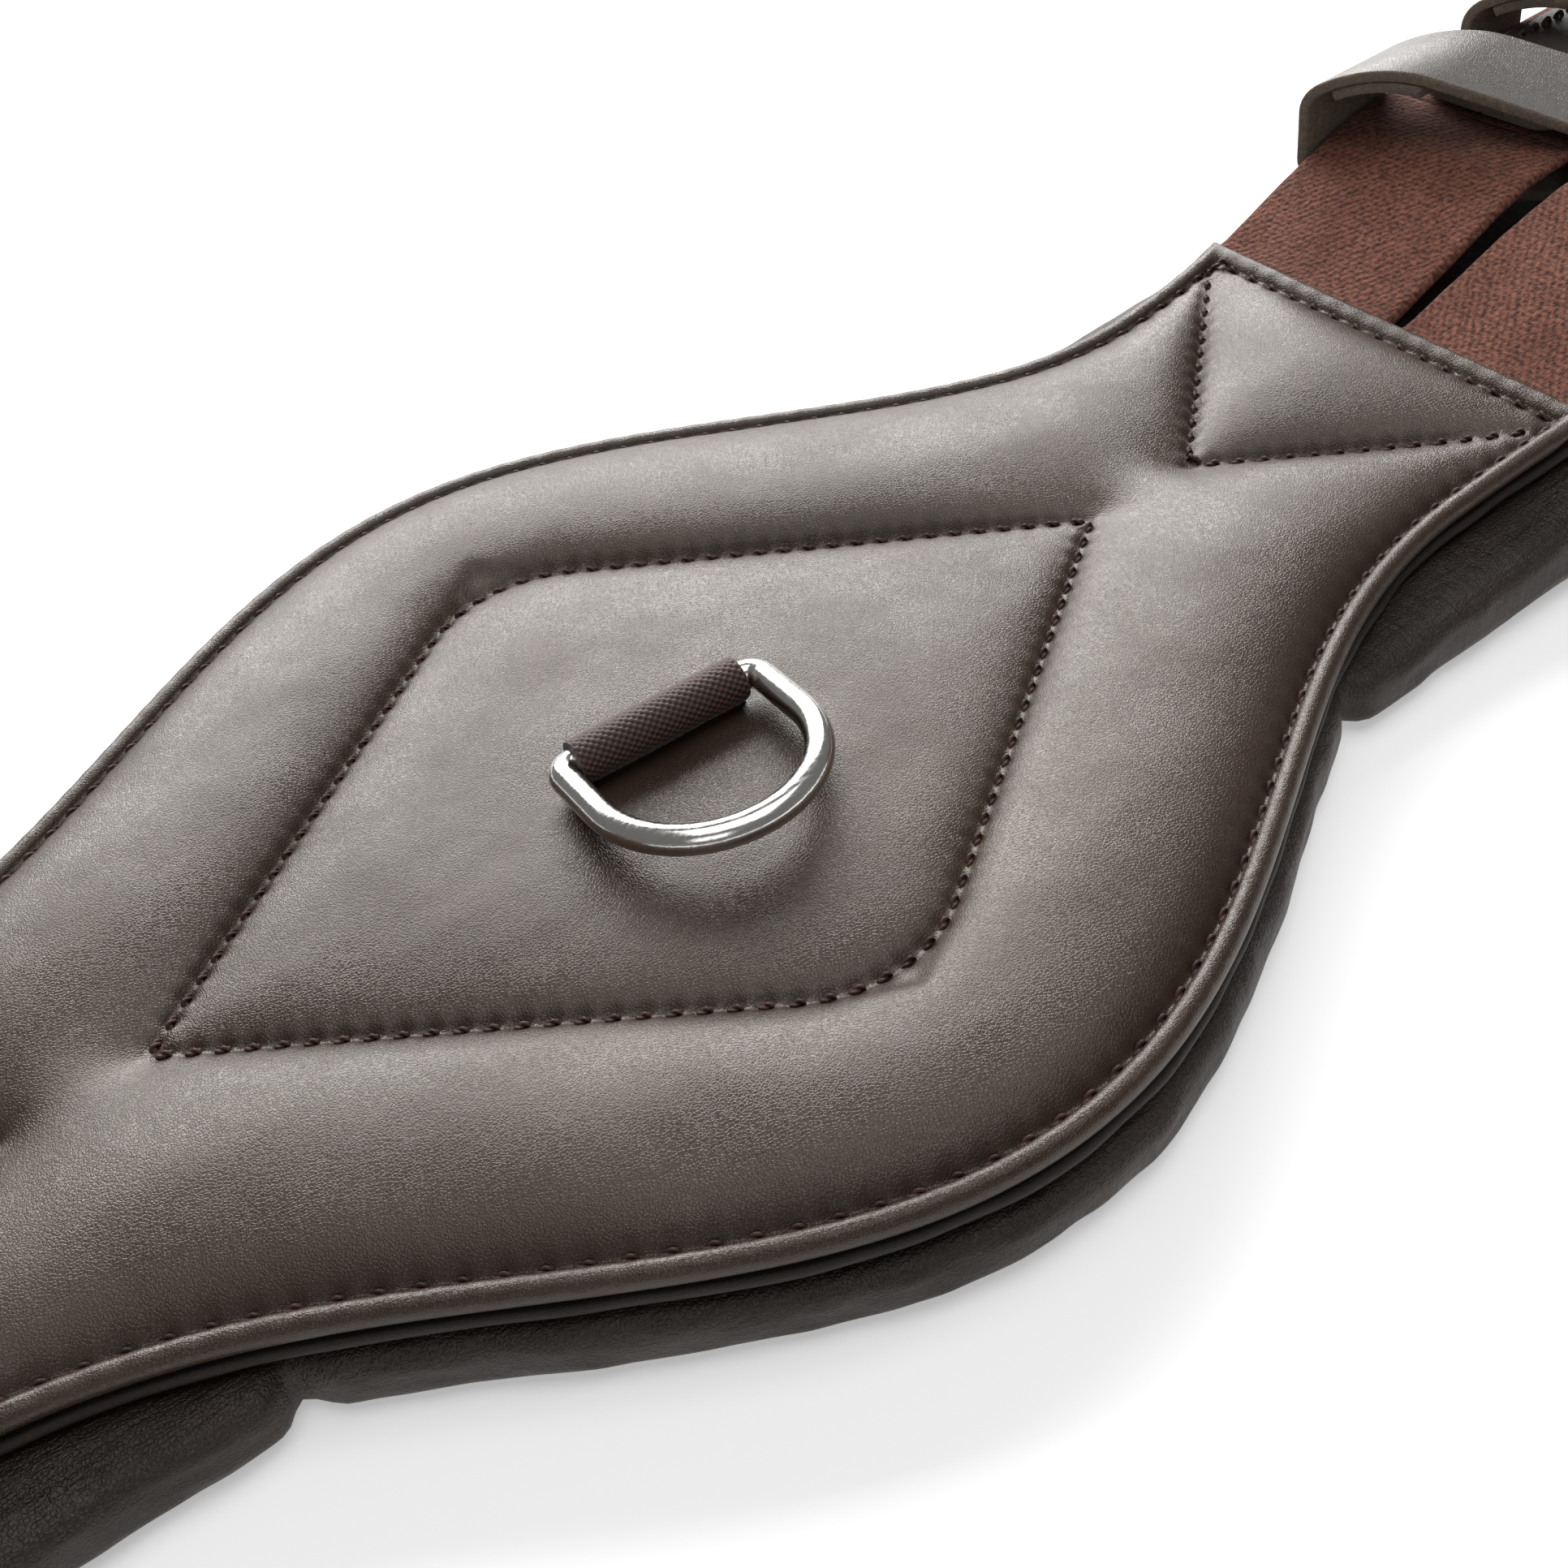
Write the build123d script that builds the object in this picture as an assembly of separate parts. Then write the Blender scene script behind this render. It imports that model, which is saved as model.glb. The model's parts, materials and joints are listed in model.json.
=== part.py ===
from build123d import *
from math import cos, pi, radians, sin, sqrt
import os

# A short leather saddle girth with a wide belly panel, lying flat.
# Millimetres. X runs along the girth, Y across it and Z up.
# The origin is on the resting face, under the middle of the belly panel.

# ---- driving dimensions -------------------------------------------------
# belly panel, seen from above
PANEL_HALF = 148.5
LOBE_HALF = 86.8
WAIST_X = 122.0
WAIST_HALF = 39.0
CORNER_FLARE = 1.9
OUTLINE_STEPS = 14
OUTLINE_MARGIN = 5.0

# seams in the panel
EDGE_SEAM_INSET = 3.4
PUFF_INSET = 4.4
GROOVE_HALF = 1.5
THREAD_WIDTH = 0.8
THREAD_HEIGHT = 0.5
DIAMOND_TIP_X = 81.0
DIAMOND_HALF = 58.0
DIAMOND_CORNER = 22.0
TRIANGLE_TIP_X = 102.0
TRIANGLE_HALF = 37.6

# padded liner under the panel, longer than the panel
LINER_HALF = 294.0
LINER_MIDDLE_HALF = 54.0
LINER_END_HALF = 45.5
LINER_END_RADIUS = 28.0
LINER_OVERHANG = 1.5
LINER_SKIN = 1.2

# bearing surface: the liner's upper face, low under the panel and high under the buckles
BEARING_LOW = 11.0
BEARING_HIGH = 21.5
RAMP_START = 95.0
RAMP_END = 200.0
RAMP_SLOPE = 2 * (BEARING_HIGH - BEARING_LOW) / (RAMP_END - RAMP_START)

# heights above the bearing surface, layer by layer
BACKING_LOW = 0.5
WEBBING_LOW = 1.7
TAIL_LOW = 2.9
LEATHER_LOW = 4.9
LEATHER_TOP = 6.3
PUFF_TOP = 8.8
LEATHER = 1.4
SKIRT_WIDTH = 1.5
SKIRT_END_GAP = 3.0

# load webbing and the sewn-in tails of the elastics
WEBBING_HALF_LENGTH = 124.0
WEBBING_HALF_WIDTH = 36.0
TAIL_START = 104.0
TAIL_WIDTH = 32.0

# straps at each end; each pair spreads towards its buckles
STRAP_PITCH = 42.4
STRAP_SPREAD = 1.8
STRAP_SLOPE = 0.38
ELASTIC_WIDTH = 40.0
ELASTIC_THICKNESS = 2.2
ELASTIC_END = 245.0
FLEX_X = 152.0
FLEX_GAP = 0.7
FLEX_OVERLAP = 5.0
STRAP_LEVEL = 33.4
STRAP_BEND_RADIUS = 40.0
CHAPE_WIDTH = 30.0
CHAPE_THICKNESS = 2.0
CHAPE_TOP_START = 196.0
CHAPE_BOTTOM_START = 222.0
CHAPE_CORNER = 5.0
CHAPE_SEAM_INSET = 3.0
CHAPE_SEAM_END_GAP = 2.0
TONGUE_SLOT_START = 248.0
TONGUE_SLOT_WIDTH = 6.6

# roller buckles
BAR_X = 262.0
BUCKLE_LENGTH = 28.0
BUCKLE_ARM_Y = 18.0
WIRE_RADIUS = 2.0
BAR_RADIUS = 1.95
ARM_RISE = 3.0
ROLLER_RADIUS = 3.5
ROLLER_BORE = 2.08
ROLLER_LENGTH = 30.0
TONGUE_EYE_BORE = 2.02
TONGUE_EYE_RADIUS = 3.9
TONGUE_WIDTH = 5.6
TONGUE_ROD_WIDTH = 4.4
TONGUE_ROD_THICKNESS = 3.0
TONGUE_ROOT = (2.2, 1.8)
TONGUE_BEND_RADIUS = 20.0
TONGUE_OVER_ROLLER = 0.3
TONGUE_OVERHANG = 5.0
TONGUE_LEVEL_START = 2.0

# keeper loops, set askew: a loose one on each elastic and a sewn one on each chape
KEEPER_X = 184.5
KEEPER_WIDTH = 22.0
KEEPER_LOW = 25.6
SEWN_KEEPER_X = 229.5
SEWN_KEEPER_WIDTH = 16.0
KEEPER_SKEW = 28.0
KEEPER_HALF = 24.2
KEEPER_LOW_CORNER = 3.0
KEEPER_OUTER_Z = 41.0
KEEPER_OUTER_CORNER = 5.0
KEEPER_CROWN = (12.0, 47.2)
KEEPER_CROWN_RADIUS = 26.0
KEEPER_INNER_Z = 37.6
KEEPER_INNER_CORNER = 4.0
KEEPER_THICKNESS = 2.1
KEEPER_LAP = 18.0

# D-ring and the webbing loop that holds it
RING_WIRE_RADIUS = 2.2
RING_HALF = 16.4
RING_LEG = 12.0
RING_CORNER = 2.5
RING_PLACE = (0.4, 1.4)
RING_TURN = -2.0
RING_TILT = 4.0
LOOP_WIDTH = 27.4
LOOP_WEB = 1.2
LOOP_CLEARANCE = 0.05
LOOP_TAB = 14.0
LOOP_OVER_LEATHER = 0.2

# larger than the girth in every direction, for cutting
TALL = 80.0
WIDE = 240.0


# ---- shared shapes ------------------------------------------------------
def bearing_edges(lift):
    """Side view of the bearing surface raised by lift: flat, an S-shaped ramp each side, flat."""
    low = BEARING_LOW + lift
    high = BEARING_HIGH + lift
    middle = ((RAMP_START + RAMP_END) / 2, (low + high) / 2)
    edges = [Line((-RAMP_START, low), (RAMP_START, low))]
    for side in (-1, 1):
        lower = TangentArc((side * RAMP_START, low), (side * middle[0], middle[1]), tangent=(side, 0))
        upper = TangentArc((side * middle[0], middle[1]), (side * RAMP_END, high), tangent=lower % 1)
        edges += [lower, upper, Line((side * RAMP_END, high), (side * WIDE * 2, high))]
    return edges


def band(low, high):
    """A slab that follows the bearing surface between two heights above it; None is the floor."""
    upper = bearing_edges(high)
    if low is None:
        ends = [(-WIDE * 2, 0), (WIDE * 2, 0)]
        lower = [Line(*ends)]
        left_low, right_low = ends
    else:
        lower = bearing_edges(low)
        left_low = (-WIDE * 2, BEARING_HIGH + low)
        right_low = (WIDE * 2, BEARING_HIGH + low)
    left = Line(left_low, (-WIDE * 2, BEARING_HIGH + high))
    right = Line(right_low, (WIDE * 2, BEARING_HIGH + high))
    side_view = make_face(upper + lower + [left, right])
    return extrude(Plane.XZ * side_view, WIDE / 2, both=True)


def layer(outline, low, high):
    """The part of the slab between two heights that lies inside a plan outline."""
    return extrude(outline, TALL) & band(low, high)


def edge_half_width(x):
    """Half width of the panel at x: a raised cosine lobe, a waist, then a slight flare."""
    along = min(abs(x), WAIST_X)
    lobe = (LOBE_HALF - WAIST_HALF) * (1 + cos(pi * along / WAIST_X)) / 2
    past = max(0.0, abs(x) - WAIST_X) / (PANEL_HALF - WAIST_X)
    return WAIST_HALF + lobe + CORNER_FLARE * past**2


def wavy_outline(half_length, extra):
    """The panel's wavy plan outline moved outwards by extra, and cut off square at each end."""
    reach = half_length + abs(extra) + OUTLINE_MARGIN
    far = []
    for i in range(OUTLINE_STEPS + 1):
        x = reach * (2 * i / OUTLINE_STEPS - 1)
        slope = edge_half_width(x + 0.5) - edge_half_width(x - 0.5)
        length = sqrt(1 + slope**2)
        far.append((x - extra * slope / length, edge_half_width(x) + extra / length))
    near = [(x, -y) for x, y in far]
    body = make_face([Spline(*far), Spline(*near), Line(far[0], near[0]), Line(far[-1], near[-1])])
    return body & Rectangle(2 * (half_length + extra), 2 * WIDE)


def grown(outline, amount):
    """An outline of lines and arcs moved outwards by amount, or inwards where it is negative."""
    return offset(outline, amount, kind=Kind.ARC if amount > 0 else Kind.INTERSECTION)


def seam_strip(outline, width):
    """A closed strip of the given width centred on an outline of lines and arcs."""
    return grown(outline, width / 2) - grown(outline, -width / 2)


def box_between(x, y, z):
    """A box from three (low, high) pairs."""
    size = [high - low for low, high in (x, y, z)]
    centre = [(low + high) / 2 for low, high in (x, y, z)]
    return Pos(*centre) * Box(*size)


def spread(piece, row):
    """A piece made along X, moved to its row and turned outwards about its flex line; row is -1 or 1."""
    turned = Pos(FLEX_X, 0, 0) * Rot(0, 0, row * STRAP_SPREAD) * Pos(-FLEX_X, 0, 0)
    return Pos(0, row * STRAP_PITCH / 2, 0) * turned * piece


# ---- plan outlines ------------------------------------------------------
def diamond_outline():
    """The middle compartment: a long diamond whose two blunt corners are rounded."""
    corners = [(DIAMOND_TIP_X, 0), (0, DIAMOND_HALF), (-DIAMOND_TIP_X, 0), (0, -DIAMOND_HALF)]
    sharp = make_face(Polyline(*corners, close=True))
    blunt = [v for v in sharp.vertices() if abs(v.X) < DIAMOND_TIP_X / 2]
    return fillet(blunt, DIAMOND_CORNER)


def triangle_outline(side):
    """An end compartment: a V whose tip points to the middle of the girth."""
    base_x = PANEL_HALF - PUFF_INSET
    corners = [(TRIANGLE_TIP_X, 0), (base_x, TRIANGLE_HALF), (base_x, -TRIANGLE_HALF)]
    return make_face(Polyline(*[(side * x, y) for x, y in corners], close=True))


diamond = diamond_outline()
triangles = {"left": triangle_outline(-1), "right": triangle_outline(1)}


def puffed_areas(shrink):
    """The compartments between the seams, each moved inwards by shrink."""
    margin = GROOVE_HALF + shrink
    inside = wavy_outline(PANEL_HALF, -PUFF_INSET - shrink)
    surround = inside - grown(diamond, margin)
    areas = {"diamond_pad": grown(diamond, -margin)}
    for end, triangle in triangles.items():
        surround -= grown(triangle, margin)
        areas[end + "_triangle_pad"] = grown(triangle, -margin) & inside
    areas["surround_pad"] = surround
    return areas


# ---- belly panel --------------------------------------------------------
def make_panel():
    """Outer leather with its turned edge, the pads under its puffs, foam, backing and webbing."""
    outline = wavy_outline(PANEL_HALF, 0.0)
    inner = wavy_outline(PANEL_HALF, -SKIRT_WIDTH)
    leather = layer(outline, LEATHER_LOW, LEATHER_TOP)
    for area in puffed_areas(0.0).values():
        leather += layer(area, LEATHER_LOW, PUFF_TOP)
    pads = {}
    for name, area in puffed_areas(LEATHER).items():
        pads[name] = layer(area, LEATHER_LOW, PUFF_TOP - LEATHER)
        leather -= pads[name]
    sides = Rectangle(2 * (PANEL_HALF - SKIRT_END_GAP), 2 * WIDE)
    leather += layer((outline - inner) & sides, WEBBING_LOW, LEATHER_LOW)

    backing = layer(outline, BACKING_LOW, WEBBING_LOW)
    webbing_plan = Rectangle(2 * WEBBING_HALF_LENGTH, 2 * WEBBING_HALF_WIDTH)
    webbing = layer(webbing_plan, WEBBING_LOW, TAIL_LOW)
    foam = layer(inner, WEBBING_LOW, LEATHER_LOW) - webbing
    return leather, pads, foam, backing, webbing


def make_tail(row):
    """The end of an elastic that is sewn down inside the panel, on top of the load webbing."""
    length = FLEX_X - TAIL_START
    plan = Pos(TAIL_START + length / 2, 0) * Rectangle(length, TAIL_WIDTH)
    end = FLEX_X - ELASTIC_THICKNESS / 2 - FLEX_GAP
    sewn_side = box_between((0, end), (-WIDE, WIDE), (0, TALL))
    return layer(spread(plan, row), TAIL_LOW, LEATHER_LOW) & sewn_side


def make_seams():
    """The thread of each seam, as a thin strip lying in its groove."""
    level = (LEATHER_TOP, LEATHER_TOP + THREAD_HEIGHT)
    half = THREAD_WIDTH / 2
    outside = wavy_outline(PANEL_HALF, half - EDGE_SEAM_INSET)
    edge_strip = outside - wavy_outline(PANEL_HALF, -half - EDGE_SEAM_INSET)
    seams = {
        "edge_stitching": layer(edge_strip, *level),
        "diamond_stitching": layer(seam_strip(diamond, THREAD_WIDTH), *level),
    }
    inside = wavy_outline(PANEL_HALF, -PUFF_INSET - THREAD_WIDTH)
    for end, triangle in triangles.items():
        seams[end + "_triangle_stitching"] = layer(seam_strip(triangle, THREAD_WIDTH) & inside, *level)
    return seams


# ---- liner --------------------------------------------------------------
def liner_outline(extra):
    """A wavy lobe under the panel with a long rounded pad running out under each pair of buckles."""
    lobe = wavy_outline(RAMP_START, LINER_OVERHANG + extra)
    corners = [
        (LINER_HALF, LINER_END_HALF),
        (0, LINER_MIDDLE_HALF),
        (-LINER_HALF, LINER_END_HALF),
        (-LINER_HALF, -LINER_END_HALF),
        (0, -LINER_MIDDLE_HALF),
        (LINER_HALF, -LINER_END_HALF),
    ]
    strip = make_face(Polyline(*corners, close=True))
    ends = [v for v in strip.vertices() if abs(v.X) > LINER_HALF / 2]
    return lobe + grown(fillet(ends, LINER_END_RADIUS), extra)


def make_liner():
    """The liner's leather cover as a closed skin, and the foam that fills it."""
    foam = layer(liner_outline(-LINER_SKIN), None, -LINER_SKIN)
    foam -= box_between((-WIDE * 2, WIDE * 2), (-WIDE, WIDE), (-LINER_SKIN, LINER_SKIN))
    return layer(liner_outline(0.0), None, 0.0) - foam, foam


# ---- D-ring -------------------------------------------------------------
LOOP_OUTER = RING_WIRE_RADIUS + LOOP_CLEARANCE + LOOP_WEB
RING_Z = BEARING_LOW + PUFF_TOP + LOOP_OVER_LEATHER + LOOP_OUTER


def make_ring():
    """A round-wire D whose straight bar lies along X; its bow points towards -Y."""
    bow_y = -RING_LEG
    half_d = [
        Line((-RING_HALF, 0), (RING_HALF, 0)),
        Line((RING_HALF, 0), (RING_HALF, bow_y)),
        ThreePointArc((RING_HALF, bow_y), (0, bow_y - RING_HALF), (-RING_HALF, bow_y)),
        Line((-RING_HALF, bow_y), (-RING_HALF, 0)),
    ]
    plate = make_face(half_d)
    bar_corners = [v for v in plate.vertices() if abs(v.Y) < 0.01]
    plate = fillet(bar_corners, RING_CORNER)
    path = plate.face().outer_wire()
    section = Plane(path @ 0, z_dir=path % 0) * Circle(RING_WIRE_RADIUS)
    ring = sweep(section, path=path)
    return Pos(*RING_PLACE, RING_Z) * Rot(0, 0, RING_TURN) * Rot(-RING_TILT, 0, 0) * ring


def make_ring_loop():
    """Webbing round the ring's bar, down through a slit and spread flat on the load webbing."""
    bore = RING_WIRE_RADIUS + LOOP_CLEARANCE
    sewn_low = BEARING_LOW + TAIL_LOW
    x = (-LOOP_WIDTH / 2, LOOP_WIDTH / 2)
    tube = Cylinder(LOOP_OUTER, LOOP_WIDTH) - Cylinder(bore, LOOP_WIDTH)
    tube = Pos(0, 0, RING_Z) * Rot(0, 90, 0) * tube
    neck_top = RING_Z - bore - LOOP_WEB / 2
    neck = box_between(x, (-LOOP_WEB, LOOP_WEB), (sewn_low, neck_top))
    tabs = box_between(x, (-LOOP_TAB, LOOP_TAB), (sewn_low, sewn_low + LOOP_WEB))
    return Pos(*RING_PLACE, 0) * Rot(0, 0, RING_TURN) * (tube + neck + tabs)


# ---- straps at the +X end, made along X ---------------------------------
def flex_height():
    """Mid height of an elastic where it leaves the panel."""
    middle_x = (RAMP_START + RAMP_END) / 2
    bearing = (BEARING_LOW + BEARING_HIGH) / 2 + RAMP_SLOPE * (FLEX_X - middle_x)
    return bearing + (TAIL_LOW + LEATHER_LOW) / 2


def make_elastic(row):
    """A flat elastic, already in its row, that climbs from the panel to the level of the buckles."""
    start = (FLEX_X - FLEX_OVERLAP, flex_height() - STRAP_SLOPE * FLEX_OVERLAP)
    level_x = FLEX_X + (STRAP_LEVEL - flex_height()) / STRAP_SLOPE
    level_start = (level_x, STRAP_LEVEL)
    level_end = (ELASTIC_END, STRAP_LEVEL)
    middle = FilletPolyline(start, level_start, level_end, radius=STRAP_BEND_RADIUS)
    side_view = make_face(offset(middle, ELASTIC_THICKNESS / 2, side=Side.BOTH).edges())
    strap = extrude(Plane.XZ * side_view, ELASTIC_WIDTH / 2, both=True)
    free_side = box_between((FLEX_X, 2 * WIDE), (-WIDE, WIDE), (0, TALL))
    roll = Pos(FLEX_X, 0, flex_height()) * Rot(90, 0, 0) * Cylinder(ELASTIC_THICKNESS / 2, WIDE)
    plan = Pos(FLEX_X, 0) * Rectangle(2 * FLEX_OVERLAP, ELASTIC_WIDTH)
    return (spread(strap, row) & free_side) + (roll & extrude(spread(plan, row), TALL))


def make_chape():
    """Leather folded round the buckle bar, one ply over the elastic and one under it."""
    inner = CHAPE_THICKNESS
    outer = 2 * CHAPE_THICKNESS
    half = CHAPE_WIDTH / 2
    top = box_between((CHAPE_TOP_START, BAR_X), (-half, half), (inner, outer))
    bottom = box_between((CHAPE_BOTTOM_START, BAR_X), (-half, half), (-outer, -inner))
    top = fillet(top.edges().filter_by(Axis.Z).sort_by(Axis.X)[:2], CHAPE_CORNER)
    bottom = fillet(bottom.edges().filter_by(Axis.Z).sort_by(Axis.X)[:2], CHAPE_CORNER)
    fold = Rot(90, 0, 0) * (Cylinder(outer, CHAPE_WIDTH) - Cylinder(inner, CHAPE_WIDTH))
    fold = Pos(BAR_X, 0, 0) * fold & box_between((BAR_X, BAR_X + outer), (-half, half), (-outer, outer))
    slot_half = TONGUE_SLOT_WIDTH / 2
    slot_x = (TONGUE_SLOT_START, BAR_X + 2 * outer)
    slot = box_between(slot_x, (-slot_half, slot_half), (-2 * outer, 2 * outer))
    return Pos(0, 0, STRAP_LEVEL) * (top + bottom + fold - slot)


def make_chape_stitching():
    """Two rows of thread along the chape's upper ply, joined across its free end."""
    low = 2 * CHAPE_THICKNESS
    start = CHAPE_TOP_START + CHAPE_SEAM_INSET
    half = CHAPE_WIDTH / 2 - CHAPE_SEAM_INSET
    length = TONGUE_SLOT_START - CHAPE_SEAM_END_GAP - start
    outside = Pos(start + length / 2, 0) * Rectangle(length, 2 * half)
    inside = Pos(start + THREAD_WIDTH + length / 2, 0) * Rectangle(length, 2 * (half - THREAD_WIDTH))
    strip = outside - inside
    return Pos(0, 0, STRAP_LEVEL + low) * extrude(strip, THREAD_HEIGHT)


def make_buckle_frame():
    """A rectangular wire frame: hinge bar, two arched arms and the bar that carries the roller."""
    half = BUCKLE_ARM_Y
    bar = Rot(90, 0, 0) * Cylinder(BAR_RADIUS, 2 * half)
    front = Pos(BUCKLE_LENGTH, 0, 0) * Rot(90, 0, 0) * Cylinder(WIRE_RADIUS, 2 * half)
    frame = bar + front
    for arm_y in (-half, half):
        ends = [(0, arm_y, 0), (BUCKLE_LENGTH, arm_y, 0)]
        arc = ThreePointArc(ends[0], (BUCKLE_LENGTH / 2, arm_y, ARM_RISE), ends[1])
        frame += sweep(Plane(arc @ 0, z_dir=arc % 0) * Circle(WIRE_RADIUS), path=arc)
        for end in ends:
            frame += Pos(*end) * Sphere(WIRE_RADIUS)
    return Pos(BAR_X, 0, STRAP_LEVEL) * frame


def make_roller():
    """A plain tube that turns on the buckle's front bar."""
    tube = Cylinder(ROLLER_RADIUS, ROLLER_LENGTH) - Cylinder(ROLLER_BORE, ROLLER_LENGTH)
    return Pos(BAR_X + BUCKLE_LENGTH, 0, STRAP_LEVEL) * Rot(90, 0, 0) * tube


def make_tongue():
    """An eye on the hinge bar and a flattened rod that rests just over the roller."""
    rest = ROLLER_RADIUS + TONGUE_OVER_ROLLER + TONGUE_ROD_THICKNESS / 2
    eye = Rot(90, 0, 0) * Cylinder(TONGUE_EYE_RADIUS, TONGUE_WIDTH)
    level_start = (BUCKLE_LENGTH - TONGUE_LEVEL_START, rest)
    tip = (BUCKLE_LENGTH + TONGUE_OVERHANG, rest)
    middle = FilletPolyline(TONGUE_ROOT, level_start, tip, radius=TONGUE_BEND_RADIUS)
    side_view = make_face(offset(middle, TONGUE_ROD_THICKNESS / 2, side=Side.BOTH).edges())
    rod = extrude(Plane.XZ * side_view, TONGUE_ROD_WIDTH / 2, both=True)
    bore = Rot(90, 0, 0) * Cylinder(TONGUE_EYE_BORE, TONGUE_WIDTH)
    return Pos(BAR_X, 0, STRAP_LEVEL) * (eye + rod - bore)


def make_keeper(row, start, width, low):
    """A lopsided loop of leather round one strap, higher on its outer side and lapped inside."""
    corners = [
        (row * KEEPER_HALF, low),
        (row * KEEPER_HALF, KEEPER_OUTER_Z),
        (row * KEEPER_CROWN[0], KEEPER_CROWN[1]),
        (-row * KEEPER_HALF, KEEPER_INNER_Z),
        (-row * KEEPER_HALF, low),
    ]
    radii = [
        KEEPER_LOW_CORNER,
        KEEPER_OUTER_CORNER,
        KEEPER_CROWN_RADIUS,
        KEEPER_INNER_CORNER,
        KEEPER_LOW_CORNER,
    ]
    middle = make_face(Polyline(*corners, close=True))
    for corner, radius in zip(corners, radii):
        middle = fillet(middle.vertices().sort_by_distance((*corner, 0))[0], radius)
    half = KEEPER_THICKNESS / 2
    loop = offset(middle, half) - offset(middle, -half)
    lap = offset(middle, -half) - offset(middle, -half - KEEPER_THICKNESS)
    window = Pos(row * KEEPER_CROWN[0], KEEPER_CROWN[1]) * Rectangle(KEEPER_LAP, 4 * KEEPER_THICKNESS)
    skew = radians(row * KEEPER_SKEW)
    across = Plane((start, 0, 0), x_dir=(-sin(skew), cos(skew), 0), z_dir=(cos(skew), sin(skew), 0))
    return extrude(across * (loop + (lap & window)), width, dir=(1, 0, 0))


# ---- assembly -----------------------------------------------------------
def make_parts():
    """Every node of the girth, by name."""
    parts = {}
    leather, pads, foam, backing, webbing = make_panel()
    loop = make_ring_loop()
    parts["outer_leather"] = leather - loop
    for name, pad in pads.items():
        parts[name] = pad - loop if name == "diamond_pad" else pad
    parts["panel_backing"] = backing
    parts["load_webbing"] = webbing
    parts["d_ring_loop"] = loop
    parts["d_ring"] = make_ring()
    parts.update(make_seams())
    parts["liner_cover"], parts["liner_foam"] = make_liner()
    rows = {"near": -1, "far": 1}
    for name, row in rows.items():
        tail = make_tail(row)
        for end, piece in (("right", tail), ("left", mirror(tail, about=Plane.YZ))):
            foam -= piece
            parts[f"{end}_{name}_elastic_tail"] = piece
    parts["panel_foam"] = foam - loop
    strap = {
        "chape": make_chape(),
        "chape_stitching": make_chape_stitching(),
        "buckle_frame": make_buckle_frame(),
        "buckle_roller": make_roller(),
        "buckle_tongue": make_tongue(),
    }
    for name, row in rows.items():
        pieces = {kind: spread(piece, row) for kind, piece in strap.items()}
        loose = make_keeper(row, KEEPER_X, KEEPER_WIDTH, KEEPER_LOW)
        sewn_low = STRAP_LEVEL - 2 * CHAPE_THICKNESS - KEEPER_THICKNESS / 2
        sewn = make_keeper(row, SEWN_KEEPER_X, SEWN_KEEPER_WIDTH, sewn_low)
        pieces["keeper"] = spread(loose, row)
        pieces["sewn_keeper"] = spread(sewn, row)
        pieces["elastic"] = make_elastic(row)
        for kind, placed in pieces.items():
            parts[f"right_{name}_{kind}"] = placed
            parts[f"left_{name}_{kind}"] = mirror(placed, about=Plane.YZ)
    return parts


os.makedirs("parts", exist_ok=True)
for node, shape in make_parts().items():
    export_step(shape, f"parts/{node}.step")
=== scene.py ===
import json
import math

import bmesh
import bpy
import numpy as np
from mathutils import Matrix, Vector


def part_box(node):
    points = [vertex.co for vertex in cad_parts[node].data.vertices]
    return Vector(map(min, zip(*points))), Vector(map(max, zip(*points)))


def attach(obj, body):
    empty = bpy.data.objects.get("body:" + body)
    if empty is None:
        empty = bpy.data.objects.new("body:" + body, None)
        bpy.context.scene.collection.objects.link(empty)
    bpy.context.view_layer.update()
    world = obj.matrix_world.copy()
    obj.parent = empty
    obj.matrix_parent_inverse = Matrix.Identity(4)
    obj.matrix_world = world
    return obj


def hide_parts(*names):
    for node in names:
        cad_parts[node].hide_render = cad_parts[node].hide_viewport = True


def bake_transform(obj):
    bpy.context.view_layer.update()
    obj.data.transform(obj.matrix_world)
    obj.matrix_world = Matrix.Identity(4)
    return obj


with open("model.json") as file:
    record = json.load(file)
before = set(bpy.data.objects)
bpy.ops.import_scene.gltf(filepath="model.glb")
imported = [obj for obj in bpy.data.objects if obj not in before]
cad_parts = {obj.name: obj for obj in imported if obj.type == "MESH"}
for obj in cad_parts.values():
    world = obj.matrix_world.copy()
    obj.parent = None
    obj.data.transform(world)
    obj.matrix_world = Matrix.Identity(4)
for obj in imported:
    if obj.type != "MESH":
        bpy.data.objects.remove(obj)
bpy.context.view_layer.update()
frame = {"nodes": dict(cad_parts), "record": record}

# A leather saddle girth lying flat on a pale floor.
# Shapes are worked out in millimetres in the CAD frame, and add_piece() turns them into metres.
MM = 0.001


def cad_box(node):
    """A CAD node's lowest and highest corners, in millimetres."""
    low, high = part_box(node)
    return np.array(low) / MM, np.array(high) / MM


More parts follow.
